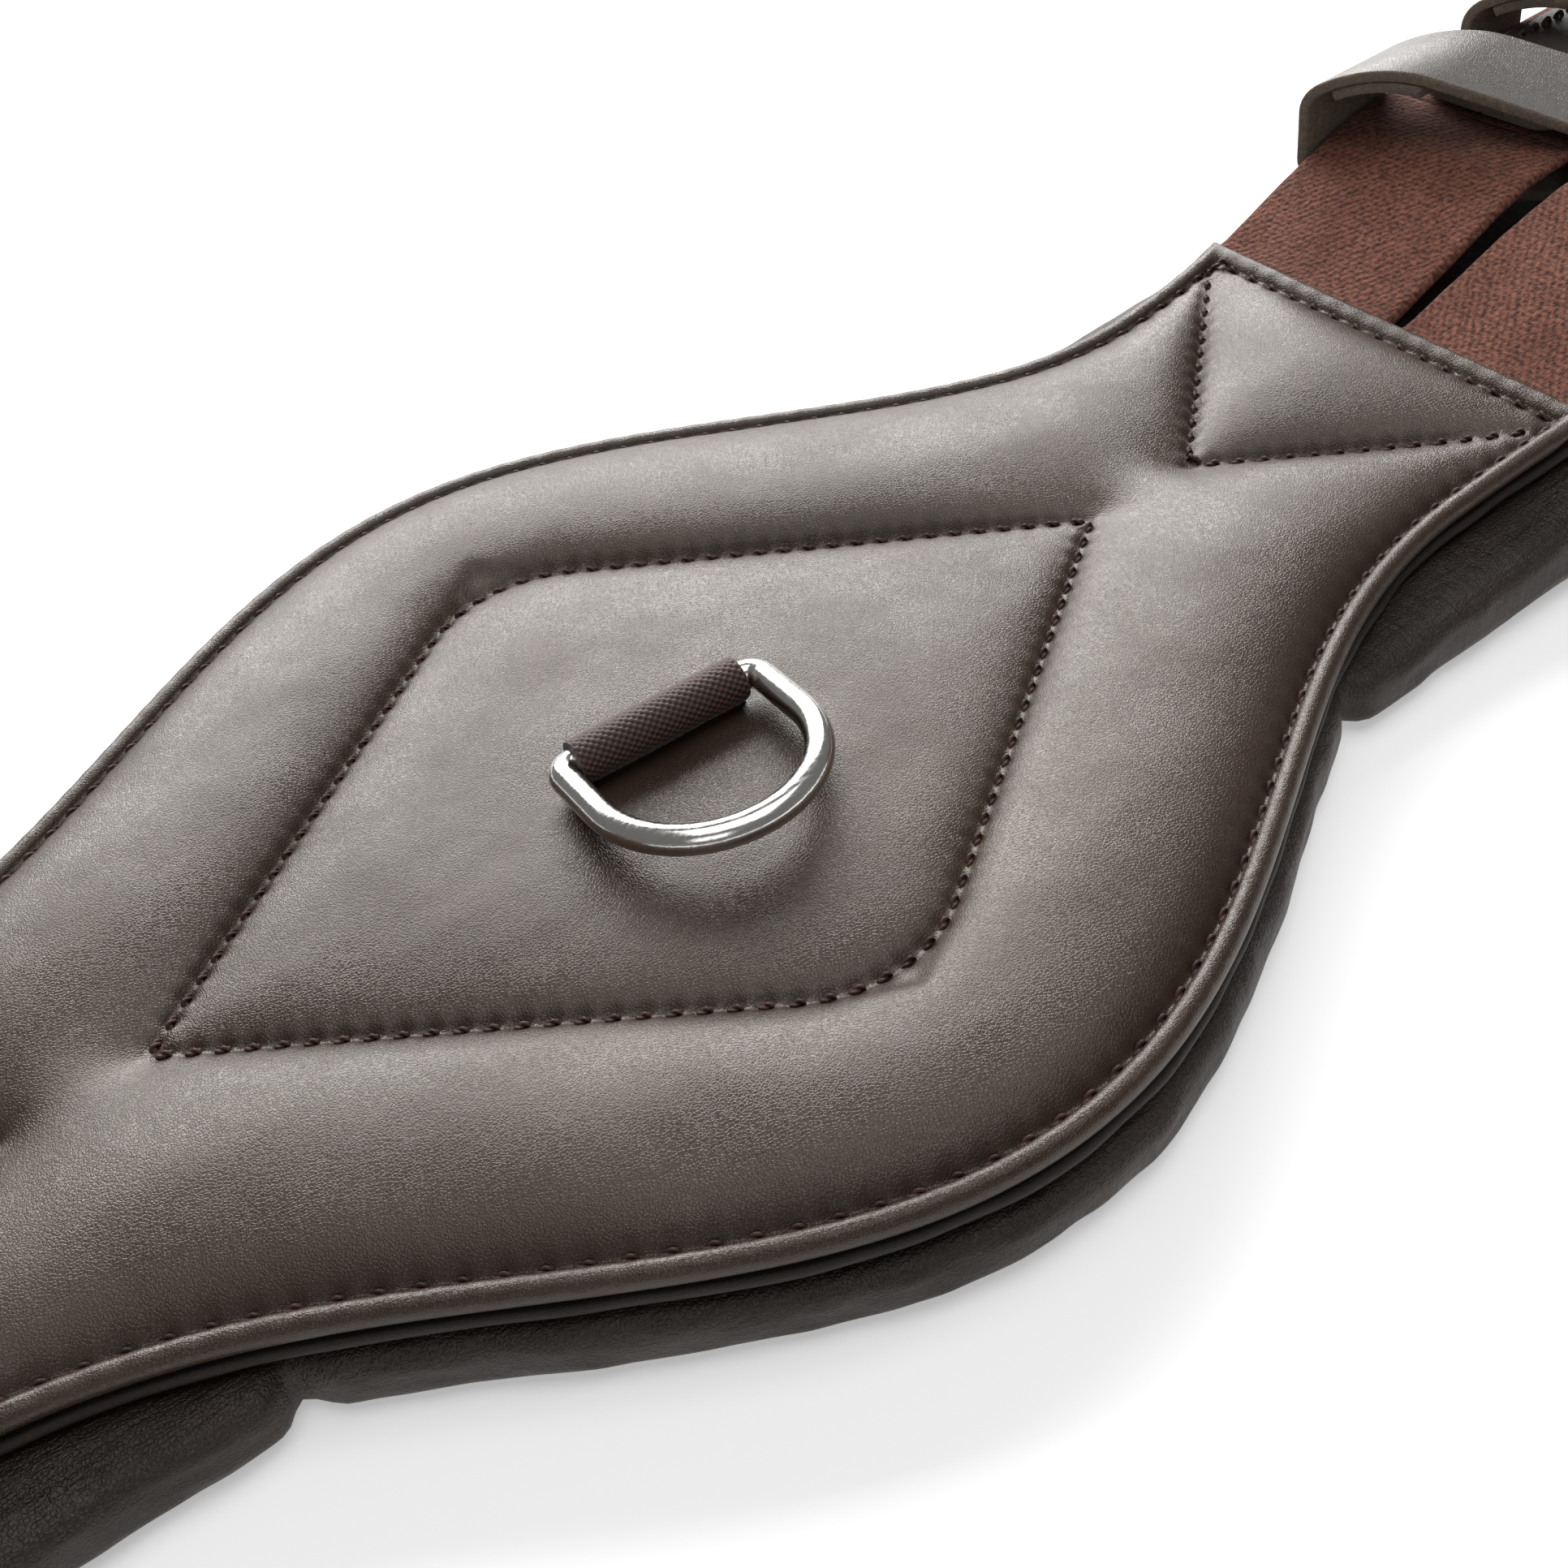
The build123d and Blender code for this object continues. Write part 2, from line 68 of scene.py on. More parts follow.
# ---- sizes and places that the frame gives -------------------------------
JOINTS = {joint["name"]: joint for joint in frame["record"]["behaviour"]["joints"]}
PANEL_HALF = cad_box("outer_leather")[1][0]
LOBE_HALF = cad_box("outer_leather")[1][1]
LINER_HALF = cad_box("liner_cover")[1][0]
BEARING_HIGH = cad_box("liner_cover")[1][2]
RING_PIN = np.array(JOINTS["d_ring_swing"]["pos_m"]) / MM
RING_ALONG = -np.array(JOINTS["d_ring_swing"]["axis"])[:2]
RING_ACROSS = np.array([-RING_ALONG[1], RING_ALONG[0]])
FLEX_X = JOINTS["right_far_strap_flex"]["pos_m"][0] / MM
BAR = np.array(JOINTS["right_far_buckle_swing"]["pos_m"]) / MM
BAR_U = float(np.hypot(*(BAR - np.array(JOINTS["right_far_strap_flex"]["pos_m"]) / MM)[:2]))
STRAP_LEVEL = BAR[2]

# ---- sizes of the belly panel and the liner, as in the CAD model -----------
WAIST_X = 122.0
WAIST_HALF = 39.0
CORNER_FLARE = 1.9
BEARING_LOW = 11.0
RAMP_START = 95.0
RAMP_END = 200.0
EDGE_SEAM_INSET = 3.4
DIAMOND_TIP_X = 81.0
DIAMOND_HALF = 58.0
DIAMOND_CORNER = 22.0
TRIANGLE_TIP_X = 102.0
TRIANGLE_BASE_X = 144.1
TRIANGLE_HALF = 37.6
LINER_MIDDLE_HALF = 54.0
LINER_END_HALF = 45.5
LINER_END_RADIUS = 28.0
LINER_OVERHANG = 1.8
LINER_TUCK_X = 86.0
LINER_TUCK_DEPTH = 3.2
LINER_TUCK_WIDTH = 2.2
LINER_END_ROUND = 12.0
LINER_TOP_GAP = 0.15
BACKING_LEVELS = (0.65, 2.55)
BACKING_CORNER = 1.0

# ---- sizes of the straps, as in the CAD model; u is measured from the flex line
STRAP_SLOPE = 0.38
STRAP_BEND = 1.6
STRAP_THICK = 2.0
ELASTIC_HALF = 20.0
ELASTIC_THICK = 2.2
ELASTIC_START = -12.0
ELASTIC_WIDENS = (-7.0, -2.5)
ELASTIC_TUCK = 3.2
ELASTIC_SPLIT = 43.5
ELASTIC_END = 93.0
ELASTIC_STEP = 1.2
ELASTIC_BEND = (-5.0, 9.0)
EDGE_POINTS = 7
CHAPE_HALF = 15.0
CHAPE_TOP_START = 44.0
CHAPE_BOTTOM_START = 70.0
CHAPE_CORNER = 5.0
CHAPE_SEAM_INSET = 3.4
CHAPE_SEAM_CORNER = 3.0
CHAPE_SEAM_END_GAP = 2.0
SLOT_START = 96.0
SLOT_HALF = 3.3
FOLD_RADIUS = 3.0
KEEPER_START = 32.5
KEEPER_WIDTH = 22.0
KEEPER_LOW = 25.6
SEWN_KEEPER_START = 77.5
SEWN_KEEPER_WIDTH = 16.0
SEWN_KEEPER_LOW = STRAP_LEVEL - 5.0
KEEPER_SKEW = 28.0
KEEPER_HALF = 24.2
KEEPER_OUTER_Z = 41.0
KEEPER_INNER_Z = 37.6
KEEPER_CROWN = (12.0, 47.2)
KEEPER_LAP_HALF = 9.0
KEEPER_LAP_GAP = 0.1

# ---- heights above the bearing surface ------------------------------------
SEAM_LEVEL = 5.9
PUFF_RISE = 5.2
MIDDLE_PUFF_RISE = 3.0
TAIL_MIDDLE = 3.9

# ---- stitches --------------------------------------------------------------
EDGE_PITCH = 4.8
PATTERN_PITCH = 3.9
CHAPE_PITCH = 3.6
STITCH_SHARE = 0.74
STITCH_LEAN = 0.16
STITCH_LEAN_SPREAD = 0.035


# ---- shared maths ----------------------------------------------------------
def half_width(x):
    """Half width of the panel at x: a raised cosine lobe, a waist, then a slight flare."""
    along = np.minimum(np.abs(x), WAIST_X)
    lobe = (LOBE_HALF - WAIST_HALF) * (1 + np.cos(np.pi * along / WAIST_X)) / 2
    past = np.maximum(0, np.abs(x) - WAIST_X) / (PANEL_HALF - WAIST_X)
    return WAIST_HALF + lobe + CORNER_FLARE * past**2


def half_width_slope(x):
    return half_width(x + 0.5) - half_width(x - 0.5)


def slant(x):
    """Length of the panel's edge for each millimetre of x."""
    return np.sqrt(1 + half_width_slope(x) ** 2)


def bearing(x):
    """Height of the bearing surface, which is the liner's upper face: low, a ramp, high."""
    t = np.clip((np.abs(x) - RAMP_START) / (RAMP_END - RAMP_START), 0, 1)
    rise = np.where(t < 0.5, 2 * t**2, 1 - 2 * (1 - t) ** 2)
    return BEARING_LOW + (BEARING_HIGH - BEARING_LOW) * rise


def step(value, low, high):
    """Smoothly 0 to 1 as value goes from low to high."""
    t = np.clip((value - low) / (high - low), 0, 1)
    return t * t * (3 - 2 * t)


def ripple(x, y, shortest, longest, seed, waves=20):
    """Soft unevenness from -1 to 1: a seeded sum of waves with lengths between two limits."""
    rng = np.random.default_rng(seed)
    total = np.zeros(np.broadcast(x, y).shape)
    for _ in range(waves):
        angle = rng.uniform(0, np.pi)
        wave = 2 * np.pi / rng.uniform(shortest, longest)
        total += np.sin(wave * (x * math.cos(angle) + y * math.sin(angle)) + rng.uniform(0, 2 * np.pi))
    return total / math.sqrt(waves)


def nearest(x, y, route):
    """Distance from each point to a route of straight runs, and how far along the route that is."""
    best = np.full(x.shape, np.inf)
    along = np.zeros(x.shape)
    travelled = 0.0
    for (ax, ay), (bx, by) in zip(route[:-1], route[1:]):
        length = math.hypot(bx - ax, by - ay)
        t = np.clip(((x - ax) * (bx - ax) + (y - ay) * (by - ay)) / length**2, 0, 1)
        distance = np.hypot(x - ax - t * (bx - ax), y - ay - t * (by - ay))
        closer = distance < best
        best = np.where(closer, distance, best)
        along = np.where(closer, travelled + t * length, along)
        travelled += length
    return best, along


def resampled(route, pitch):
    """Points a whole number of even steps, near pitch, along a route, and the step's length."""
    route = np.array(route, float)
    runs = np.hypot(*np.diff(route, axis=0).T)
    travelled = np.concatenate([[0], np.cumsum(runs)])
    count = max(2, round(travelled[-1] / pitch))
    places = np.linspace(0, travelled[-1], count + 1)
    points = np.stack([np.interp(places, travelled, route[:, k]) for k in (0, 1)], axis=1)
    return points, travelled[-1] / count


# ---- the seams' routes, seen from above -------------------------------------
def diamond_route():
    """The diamond, clockwise from its +X tip, with its two blunt corners rounded."""
    lean = math.atan2(DIAMOND_HALF, DIAMOND_TIP_X)
    centre_y = DIAMOND_HALF - DIAMOND_CORNER / math.cos(lean)
    corner = []
    for i in range(13):
        angle = lean * (1 - i / 6)
        corner.append((DIAMOND_CORNER * math.sin(angle), centre_y + DIAMOND_CORNER * math.cos(angle)))
    opposite = [(-x, -y) for x, y in corner]
    return [(DIAMOND_TIP_X, 0), *corner, (-DIAMOND_TIP_X, 0), *opposite, (DIAMOND_TIP_X, 0)]


def triangle_route(side):
    """The V at one end, from corner to corner through its tip."""
    corner = side * TRIANGLE_BASE_X
    return [(corner, TRIANGLE_HALF), (side * TRIANGLE_TIP_X, 0), (corner, -TRIANGLE_HALF)]


def edge_route():
    """The edge seam all round the panel, from its -X near corner."""
    x = np.linspace(-PANEL_HALF, PANEL_HALF, 151)
    inset_x = x + EDGE_SEAM_INSET * half_width_slope(x) / slant(x)
    inset_y = half_width(x) - EDGE_SEAM_INSET / slant(x)
    end = PANEL_HALF - EDGE_SEAM_INSET
    inside = np.abs(inset_x) < end
    end_y = np.interp(end, inset_x, inset_y)
    far = [(-end, end_y), *zip(inset_x[inside], inset_y[inside]), (end, end_y)]
    near = [(x, -y) for x, y in far]
    return [*near, *reversed(far), near[0]]


DIAMOND = diamond_route()
TRIANGLES = {"left": triangle_route(-1), "right": triangle_route(1)}
EDGE = edge_route()


# ---- the outer leather as a height above the floor --------------------------
def edge_insets(x, y):
    """How far a point is inside the panel's long edges and inside its end edges."""
    return (half_width(x) - np.abs(y)) / slant(x), PANEL_HALF - np.abs(x)


BEAD_CENTRE = 1.6
BEAD_HALF = 1.75
BEAD_LEVEL = 5.1
BEAD_END_LIFT = 0.75
BEAD_END_THINNER = 0.8
BEAD_RIPPLE = 0.05
VALLEY_DEPTH = 0.5
VALLEY_REACH = 0.9
BULGE_RISE = 0.26
BULGE_REACH = 1.5
WALL_SHARE = 0.55
WALL_REACH = 3.2
DOME_REACH = 13.0
RING_SLIT_DEPTH = 0.45
RING_SLIT_REACH = 3.5
RING_SLIT_ENDS = (12.0, 20.0)


def bead_shape(at_end):
    """Middle height and half height of the rolled edge; it is thinner where it lies on the elastics."""
    return BEAD_LEVEL + BEAD_END_LIFT * at_end, BEAD_HALF - BEAD_END_THINNER * at_end


def seam_dip(distance, along, pitch):
    """Height change beside a seam: a narrow valley in which the leather bulges between stitches."""
    valley = -VALLEY_DEPTH * np.exp(-((distance / VALLEY_REACH) ** 2))
    phase = np.cos(2 * np.pi * along / pitch)
    return valley + BULGE_RISE * phase * np.exp(-((distance / BULGE_REACH) ** 2))


def puff_wall(distance):
    """How far the padding has risen, 0 to 1, at a distance from a seam: steep, then a slow dome."""
    wall = np.exp(-((distance / WALL_REACH) ** 1.2))
    dome = np.exp(-((distance / DOME_REACH) ** 1.6))
    return 1 - WALL_SHARE * wall - (1 - WALL_SHARE) * dome


def ring_slit(x, y):
    """Where the leather is drawn down into the slit of the ring's webbing, from 0 to 1."""
    along = (x - RING_PIN[0]) * RING_ALONG[0] + (y - RING_PIN[1]) * RING_ALONG[1]
    across = (x - RING_PIN[0]) * RING_ACROSS[0] + (y - RING_PIN[1]) * RING_ACROSS[1]
    return np.exp(-((across / RING_SLIT_REACH) ** 2)) * (1 - step(np.abs(along), *RING_SLIT_ENDS))


def leather_height(x, y):
    """Height of the outer leather: puffs between seams, valleys at the seams, a bead along the edge."""
    side, end = edge_insets(x, y)
    inset = np.minimum(side, end)
    at_end = step(side - end, -2.0, 2.0)
    from_edge_seam = np.abs(inset - EDGE_SEAM_INSET)
    along_edge = nearest(x, y, EDGE)[1]
    puff = puff_wall(np.abs(side - EDGE_SEAM_INSET)) * puff_wall(np.abs(end - EDGE_SEAM_INSET))
    dip = seam_dip(from_edge_seam, along_edge, resampled(EDGE, EDGE_PITCH)[1])
    for route in (DIAMOND, *TRIANGLES.values()):
        turn = len(route) // 2
        for half_route in (route[: turn + 1], route[turn:]):
            puff = puff * puff_wall(nearest(x, y, half_route)[0])
        distance, along = nearest(x, y, route)
        dip = dip + seam_dip(distance, along, resampled(route, PATTERN_PITCH)[1])
    in_middle = step(1 - np.abs(x) / DIAMOND_TIP_X - np.abs(y) / DIAMOND_HALF, -0.04, 0.04)
    rise = PUFF_RISE + (MIDDLE_PUFF_RISE - PUFF_RISE) * in_middle
    inside = step(inset, EDGE_SEAM_INSET - 0.3, EDGE_SEAM_INSET + 0.3)
    uneven = 0.12 * ripple(x, y, 16, 50, 3) + 0.02 * ripple(x, y, 5, 10, 4)
    drawn = RING_SLIT_DEPTH * ring_slit(x, y)
    field = SEAM_LEVEL + inside * (rise * puff + uneven * puff - drawn) + dip
    middle, half = bead_shape(at_end)
    round_part = np.sqrt(np.clip(1 - ((inset - BEAD_CENTRE) / BEAD_HALF) ** 2, 0, 1))
    bead = middle + half * round_part + BEAD_RIPPLE * np.cos(2 * np.pi * along_edge / EDGE_PITCH)
    return bearing(x) + np.where(inset < EDGE_SEAM_INSET, np.maximum(bead, field), field)


# ---- mesh helpers -----------------------------------------------------------
def grid_faces(rows, columns, wrap=False):
    """Quads of a grid of points stored row by row; wrap joins the last column to the first."""
    index = np.arange(rows * columns).reshape(rows, columns)
    if wrap:
        index = np.hstack([index, index[:, :1]])
    quads = [index[:-1, :-1], index[:-1, 1:], index[1:, 1:], index[1:, :-1]]
    return np.stack([q.ravel() for q in quads], axis=1).tolist()


def add_piece(name, points, faces, materials, face_materials=None):
    """A mesh object from points in millimetres; its four-sided faces are smooth and end caps flat."""
    mesh = bpy.data.meshes.new(name)
    mesh.from_pydata((np.asarray(points) * MM).tolist(), [], faces)
    for material in materials:
        mesh.materials.append(material)
    if face_materials is not None:
        mesh.polygons.foreach_set("material_index", np.asarray(face_materials, np.int32))
    mesh.polygons.foreach_set("use_smooth", [len(face) == 4 for face in faces])
    mesh.validate()
    shape = bmesh.new()
    shape.from_mesh(mesh)
    bmesh.ops.recalc_face_normals(shape, faces=shape.faces)
    shape.to_mesh(mesh)
    shape.free()
    mesh.update()
    piece = bpy.data.objects.new(name, mesh)
    bpy.context.scene.collection.objects.link(piece)
    return piece


def store_vectors(piece, name, vectors):
    """Keeps a vector for each point, for a material to read as its coordinates."""
    attribute = piece.data.attributes.new(name, "FLOAT_VECTOR", "POINT")
    attribute.data.foreach_set("vector", np.asarray(vectors, np.float32).ravel())


def loft(rings):
    """Points and faces of closed rings joined in order, with a face across each end."""
    rings = np.asarray(rings, float)
    count, size = rings.shape[:2]
    faces = grid_faces(count, size, wrap=True)
    faces.append(list(range(size))[::-1])
    faces.append(list(range((count - 1) * size, count * size)))
    return rings.reshape(-1, 3), faces


def rounded_slab(half_wide, low, high, corner, count):
    """A closed section (y, z): a flat slab with rounded long edges."""
    half_tall = (high - low) / 2
    angles = np.linspace(-np.pi / 2, np.pi / 2, count)
    edge_y = half_wide - corner + corner * np.cos(angles)
    edge_z = (low + high) / 2 + half_tall * np.sin(angles)
    y = np.concatenate([edge_y, -edge_y[::-1]])
    z = np.concatenate([edge_z, edge_z[::-1]])
    return y, z


# ---- materials ---------------------------------------------------------------
class Shader:
    """Adds nodes to one material and joins their sockets."""

    def __init__(self, name):
        self.material = bpy.data.materials.new(name)
        self.material.use_nodes = True
        self.tree = self.material.node_tree
        self.surface = self.tree.nodes["Principled BSDF"]

    def add(self, kind, settings=None, **inputs):
        node = self.tree.nodes.new("ShaderNode" + kind)
        for key, value in (settings or {}).items():
            setattr(node, key, value)
        for key, value in inputs.items():
            self.join(value, node.inputs[key.replace("_", " ")])
        return node

    def join(self, value, socket):
        if isinstance(value, bpy.types.NodeSocket):
            self.tree.links.new(value, socket)
        else:
            socket.default_value = value

    def math(self, operation, a, b=0.0):
        node = self.add("Math", {"operation": operation})
        self.join(a, node.inputs[0])
        self.join(b, node.inputs[1])
        return node.outputs[0]

    def blend(self, factor, a, b):
        """Colour a where factor is 0 and b where it is 1."""
        node = self.add("Mix", {"data_type": "RGBA"})
        self.join(factor, node.inputs[0])
        self.join(a, node.inputs[6])
        self.join(b, node.inputs[7])
        return node.outputs[2]

    def remap(self, value, low, high, to_low, to_high):
        node = self.add("MapRange", {"interpolation_type": "SMOOTHSTEP"}, Value=value)
        limits = {"From Min": low, "From Max": high, "To Min": to_low, "To Max": to_high}
        for key, number in limits.items():
            node.inputs[key].default_value = number
        return node.outputs["Result"]

    def place(self):
        return self.add("TexCoord").outputs["Object"]

    def stored(self, name):
        return self.add("Attribute", {"attribute_name": name}).outputs["Vector"]

    def stretched(self, place, scale):
        return self.add("Mapping", Vector=place, Scale=scale).outputs["Vector"]

    def noise(self, place, scale, detail=3.0, roughness=0.55):
        node = self.add("TexNoise", Vector=place, Scale=scale, Detail=detail, Roughness=roughness)
        return node.outputs["Fac"]

    def cells(self, place, scale):
        node = self.add("TexVoronoi", {"feature": "DISTANCE_TO_EDGE"}, Vector=place, Scale=scale)
        return node.outputs["Distance"]

    def finish(self, colour, roughness, height=None, depth=0.0, **constants):
        """Joins the surface's colour, roughness and relief; constants are set on its own sockets."""
        self.join(colour, self.surface.inputs["Base Color"])
        self.join(roughness, self.surface.inputs["Roughness"])
        if height is not None:
            bump = self.add("Bump", Height=height, Distance=depth, Strength=1.0)
            self.join(bump.outputs["Normal"], self.surface.inputs["Normal"])
        for key, value in constants.items():
            self.surface.inputs[key.replace("_", " ")].default_value = value
        return self.material


def rgb(red, green, blue):
    return (red, green, blue, 1.0)


LEATHER_TINT = rgb(1.0, 0.93, 0.87)


def leather_material(name, dark, light, gloss, grain=2200, depth=0.00005, crease=0.0):
    """Satin leather: fine pebbled grain, soft tone changes and, on soft skins, fine creases."""
    s = Shader(name)
    place = s.place()
    tone = s.remap(s.noise(place, 22, 4), 0.35, 0.68, 0.0, 1.0)
    speckle = s.noise(place, 900, 2)
    colour = s.blend(tone, rgb(*dark), rgb(*light))
    colour = s.blend(s.remap(speckle, 0.4, 0.75, 0.0, 0.35), colour, rgb(*(c * 0.55 for c in dark)))
    pebbles = s.remap(s.cells(place, grain), 0.0, 0.22, 0.0, 1.0)
    fuzz = s.math("MULTIPLY", s.noise(place, grain * 1.7, 2), 0.6)
    height = s.math("ADD", fuzz, s.math("MULTIPLY", pebbles, 0.5))
    if crease:
        along = s.stretched(place, (60, 420, 420))
        across = s.stretched(place, (560, 150, 80))
        folds = s.math("ADD", s.noise(along, 1.0, 4, 0.65), s.noise(across, 1.0, 4, 0.65))
        height = s.math("ADD", height, s.math("MULTIPLY", folds, crease))
    shine = s.remap(s.noise(place, 60, 4), 0.3, 0.7, gloss - 0.05, gloss + 0.06)
    shine = s.math("ADD", shine, s.math("MULTIPLY", speckle, 0.06))
    return s.finish(colour, shine, height, depth, Specular_IOR_Level=0.5, Specular_Tint=LEATHER_TINT)


def raw_edge_material():
    """The cut edge and flesh side of strap leather: fibrous, matt, lighter brown in flecks."""
    s = Shader("raw_leather")
    place = s.place()
    fibres = s.noise(s.stretched(place, (900, 2200, 2200)), 1.0, 5, 0.7)
    flecks = s.remap(s.noise(place, 700, 3), 0.52, 0.75, 0.0, 1.0)
    colour = s.blend(fibres, rgb(0.070, 0.058, 0.047), rgb(0.34, 0.28, 0.22))
    colour = s.blend(flecks, colour, rgb(0.34, 0.22, 0.14))
    return s.finish(colour, 0.85, fibres, 0.0006, Specular_IOR_Level=0.25)


def elastic_material():
    """Woven elastic: faint, wandering twill ribs under a mottled pile."""
    s = Shader("elastic_fabric")
    place = s.stored("cloth")
    split = s.add("SeparateXYZ", Vector=place)
    along, across = split.outputs["X"], split.outputs["Y"]
    wobble = s.math("MULTIPLY", s.noise(place, 520, 3), 7.0)
    rib = s.math("MULTIPLY", across, 2 * math.pi / (1.5 * MM))
    pick = s.math("MULTIPLY", along, 2 * math.pi / (1.05 * MM))
    twill = s.math("SINE", s.math("ADD", s.math("ADD", rib, s.math("MULTIPLY", pick, 0.5)), wobble))
    threads = s.math("SINE", s.math("ADD", pick, wobble))
    weave = s.math("ADD", s.math("MULTIPLY", twill, 0.5), s.math("MULTIPLY", threads, 0.35))
    pile = s.noise(place, 1150, 3, 0.7)
    height = s.math("ADD", s.math("MULTIPLY", weave, 0.28), s.math("MULTIPLY", pile, 2.2))
    # Painted shade: the low places of the weave and pile are darkened towards a near-black brown.
    shade = s.remap(height, 0.45, 1.75, 0.0, 1.0)
    tone = s.remap(s.noise(place, 70, 3), 0.3, 0.7, 0.0, 1.0)
    thread = s.blend(tone, rgb(0.22, 0.083, 0.054), rgb(0.31, 0.125, 0.082))
    colour = s.blend(shade, rgb(0.040, 0.016, 0.011), thread)
    gloss = {"Specular_IOR_Level": 0.12, "Sheen_Weight": 0.08, "Sheen_Roughness": 0.5}
    return s.finish(colour, 0.8, height, 0.00022, **gloss)


def webbing_material():
    """Coarse nylon webbing; the stored height says how deep each place of the weave lies, and deep places
    are painted near-black as painted shade.
    """
    s = Shader("ring_webbing_fabric")
    depth = s.add("SeparateXYZ", Vector=s.stored("cloth")).outputs["Z"]
    strands = s.noise(s.stretched(s.place(), (700, 3500, 3500)), 1.0, 2)
    yarn = s.blend(strands, rgb(0.070, 0.030, 0.020), rgb(0.140, 0.068, 0.047))
    # Painted shade: the weave's hollows and the loop's inner face go near-black.
    colour = s.blend(s.remap(depth, 0.25, 0.75, 0.0, 1.0), rgb(0.008, 0.005, 0.004), yarn)
    return s.finish(colour, 0.6, strands, 0.00012, Sheen_Weight=0.15, Sheen_Roughness=0.4)


def thread_material():
    """Waxed reddish brown thread with fine fibres."""
    s = Shader("waxed_thread")
    place = s.place()
    fibres = s.noise(place, 4200, 3, 0.7)
    tone = s.remap(s.noise(place, 160, 2), 0.35, 0.65, 0.0, 1.0)
    colour = s.blend(tone, rgb(0.032, 0.013, 0.009), rgb(0.085, 0.038, 0.027))
    colour = s.blend(s.remap(fibres, 0.35, 0.6, 0.5, 0.0), colour, rgb(0.012, 0.006, 0.005))
    return s.finish(colour, 0.55, fibres, 0.00012, Specular_IOR_Level=0.4)


def nickel_material():
    """Polished nickel plate: bright, with hairline scratches and faint waviness."""
    s = Shader("polished_nickel_plate")
    place = s.place()
    hairlines = s.noise(s.stretched(place, (120, 2600, 2600)), 1.0, 3, 0.6)
    waviness = s.noise(place, 180, 2)
    height = s.math("ADD", s.math("MULTIPLY", hairlines, 0.25), waviness)
    tone = s.noise(place, 60, 3)
    colour = s.blend(tone, rgb(0.74, 0.72, 0.68), rgb(0.86, 0.85, 0.82))
    shine = s.remap(hairlines, 0.35, 0.7, 0.12, 0.24)
    return s.finish(colour, shine, height, 0.00005, Metallic=1.0)


def floor_material():
    """Plain pale paper."""
    s = Shader("pale_floor")
    tone = s.noise(s.place(), 3, 2)
    colour = s.blend(tone, rgb(0.86, 0.86, 0.865), rgb(0.88, 0.88, 0.88))
    s.join(rgb(1.0, 1.0, 1.0), s.surface.inputs["Emission Color"])
    return s.finish(colour, 0.9, Specular_IOR_Level=0.1, Emission_Strength=0.36)


PANEL_LEATHER = leather_material(
    "panel_leather_skin", (0.030, 0.0165, 0.010), (0.043, 0.025, 0.016), gloss=0.31
)
# Backing leather: a dark underside leather, darkened further to near-black as painted shade in the gap
# under the rolled edge.
BACKING_LEATHER_PAINTED_SHADE = leather_material(
    "backing_leather_painted_shade", (0.006, 0.004, 0.003), (0.010, 0.007, 0.005), gloss=0.62
)
LINER_LEATHER = leather_material(
    "liner_leather_skin", (0.012, 0.0072, 0.0052), (0.021, 0.0135, 0.0100), gloss=0.44,
    grain=1600, depth=0.0001, crease=4.6,
)
STRAP_LEATHER = leather_material(
    "strap_leather_skin", (0.028, 0.021, 0.019), (0.042, 0.033, 0.030), gloss=0.46
)
# Painted sheen: the keepers use the strap leather lightened to a pale grey-brown, which stands in for the
# softbox's reflection on them.
KEEPER_LEATHER_PAINTED_SHEEN = leather_material(
    "keeper_leather_painted_sheen", (0.125, 0.113, 0.108), (0.170, 0.155, 0.148), gloss=0.31
)
RAW_LEATHER = raw_edge_material()
ELASTIC_FABRIC = elastic_material()
WEBBING_FABRIC = webbing_material()
THREAD = thread_material()
NICKEL = nickel_material()
FLOOR = floor_material()


# ---- belly panel ----------------------------------------------------------------
EDGE_STEPS = np.concatenate([np.linspace(0.35, 4.05, 11), np.geomspace(4.5, 12.0, 9)])
PANEL_GRID = 0.75
CURL_ANGLES = (30, 15, 0, -20, -40, -60, -82)


def panel_columns():
    """Places along X, close together at the two end edges."""
    reach = PANEL_HALF - EDGE_STEPS[-1]
    inner = np.linspace(-reach, reach, round(2 * reach / PANEL_GRID))[1:-1]
    return np.concatenate([EDGE_STEPS - PANEL_HALF, inner, (PANEL_HALF - EDGE_STEPS)[::-1]])


def panel_rows(x):
    """Places across the panel for each x, close together at the two long edges."""
    edge = half_width(x) - np.outer(EDGE_STEPS, slant(x))
    inner_count = round(2 * (LOBE_HALF - EDGE_STEPS[-1]) / PANEL_GRID)
    inner = np.outer(np.linspace(-1, 1, inner_count)[1:-1], edge[-1])
    return np.vstack([-edge, inner, edge[::-1]])


def outward(x, y, at_side, at_end):
    """Direction in plan away from the panel at a point of its outline; corners get both."""
    side = np.stack([-half_width_slope(x), np.sign(y)], axis=-1) / slant(x)[..., None]
    end = np.stack([np.sign(x), np.zeros_like(y)], axis=-1)
    return side * at_side[..., None] + end * at_end[..., None]


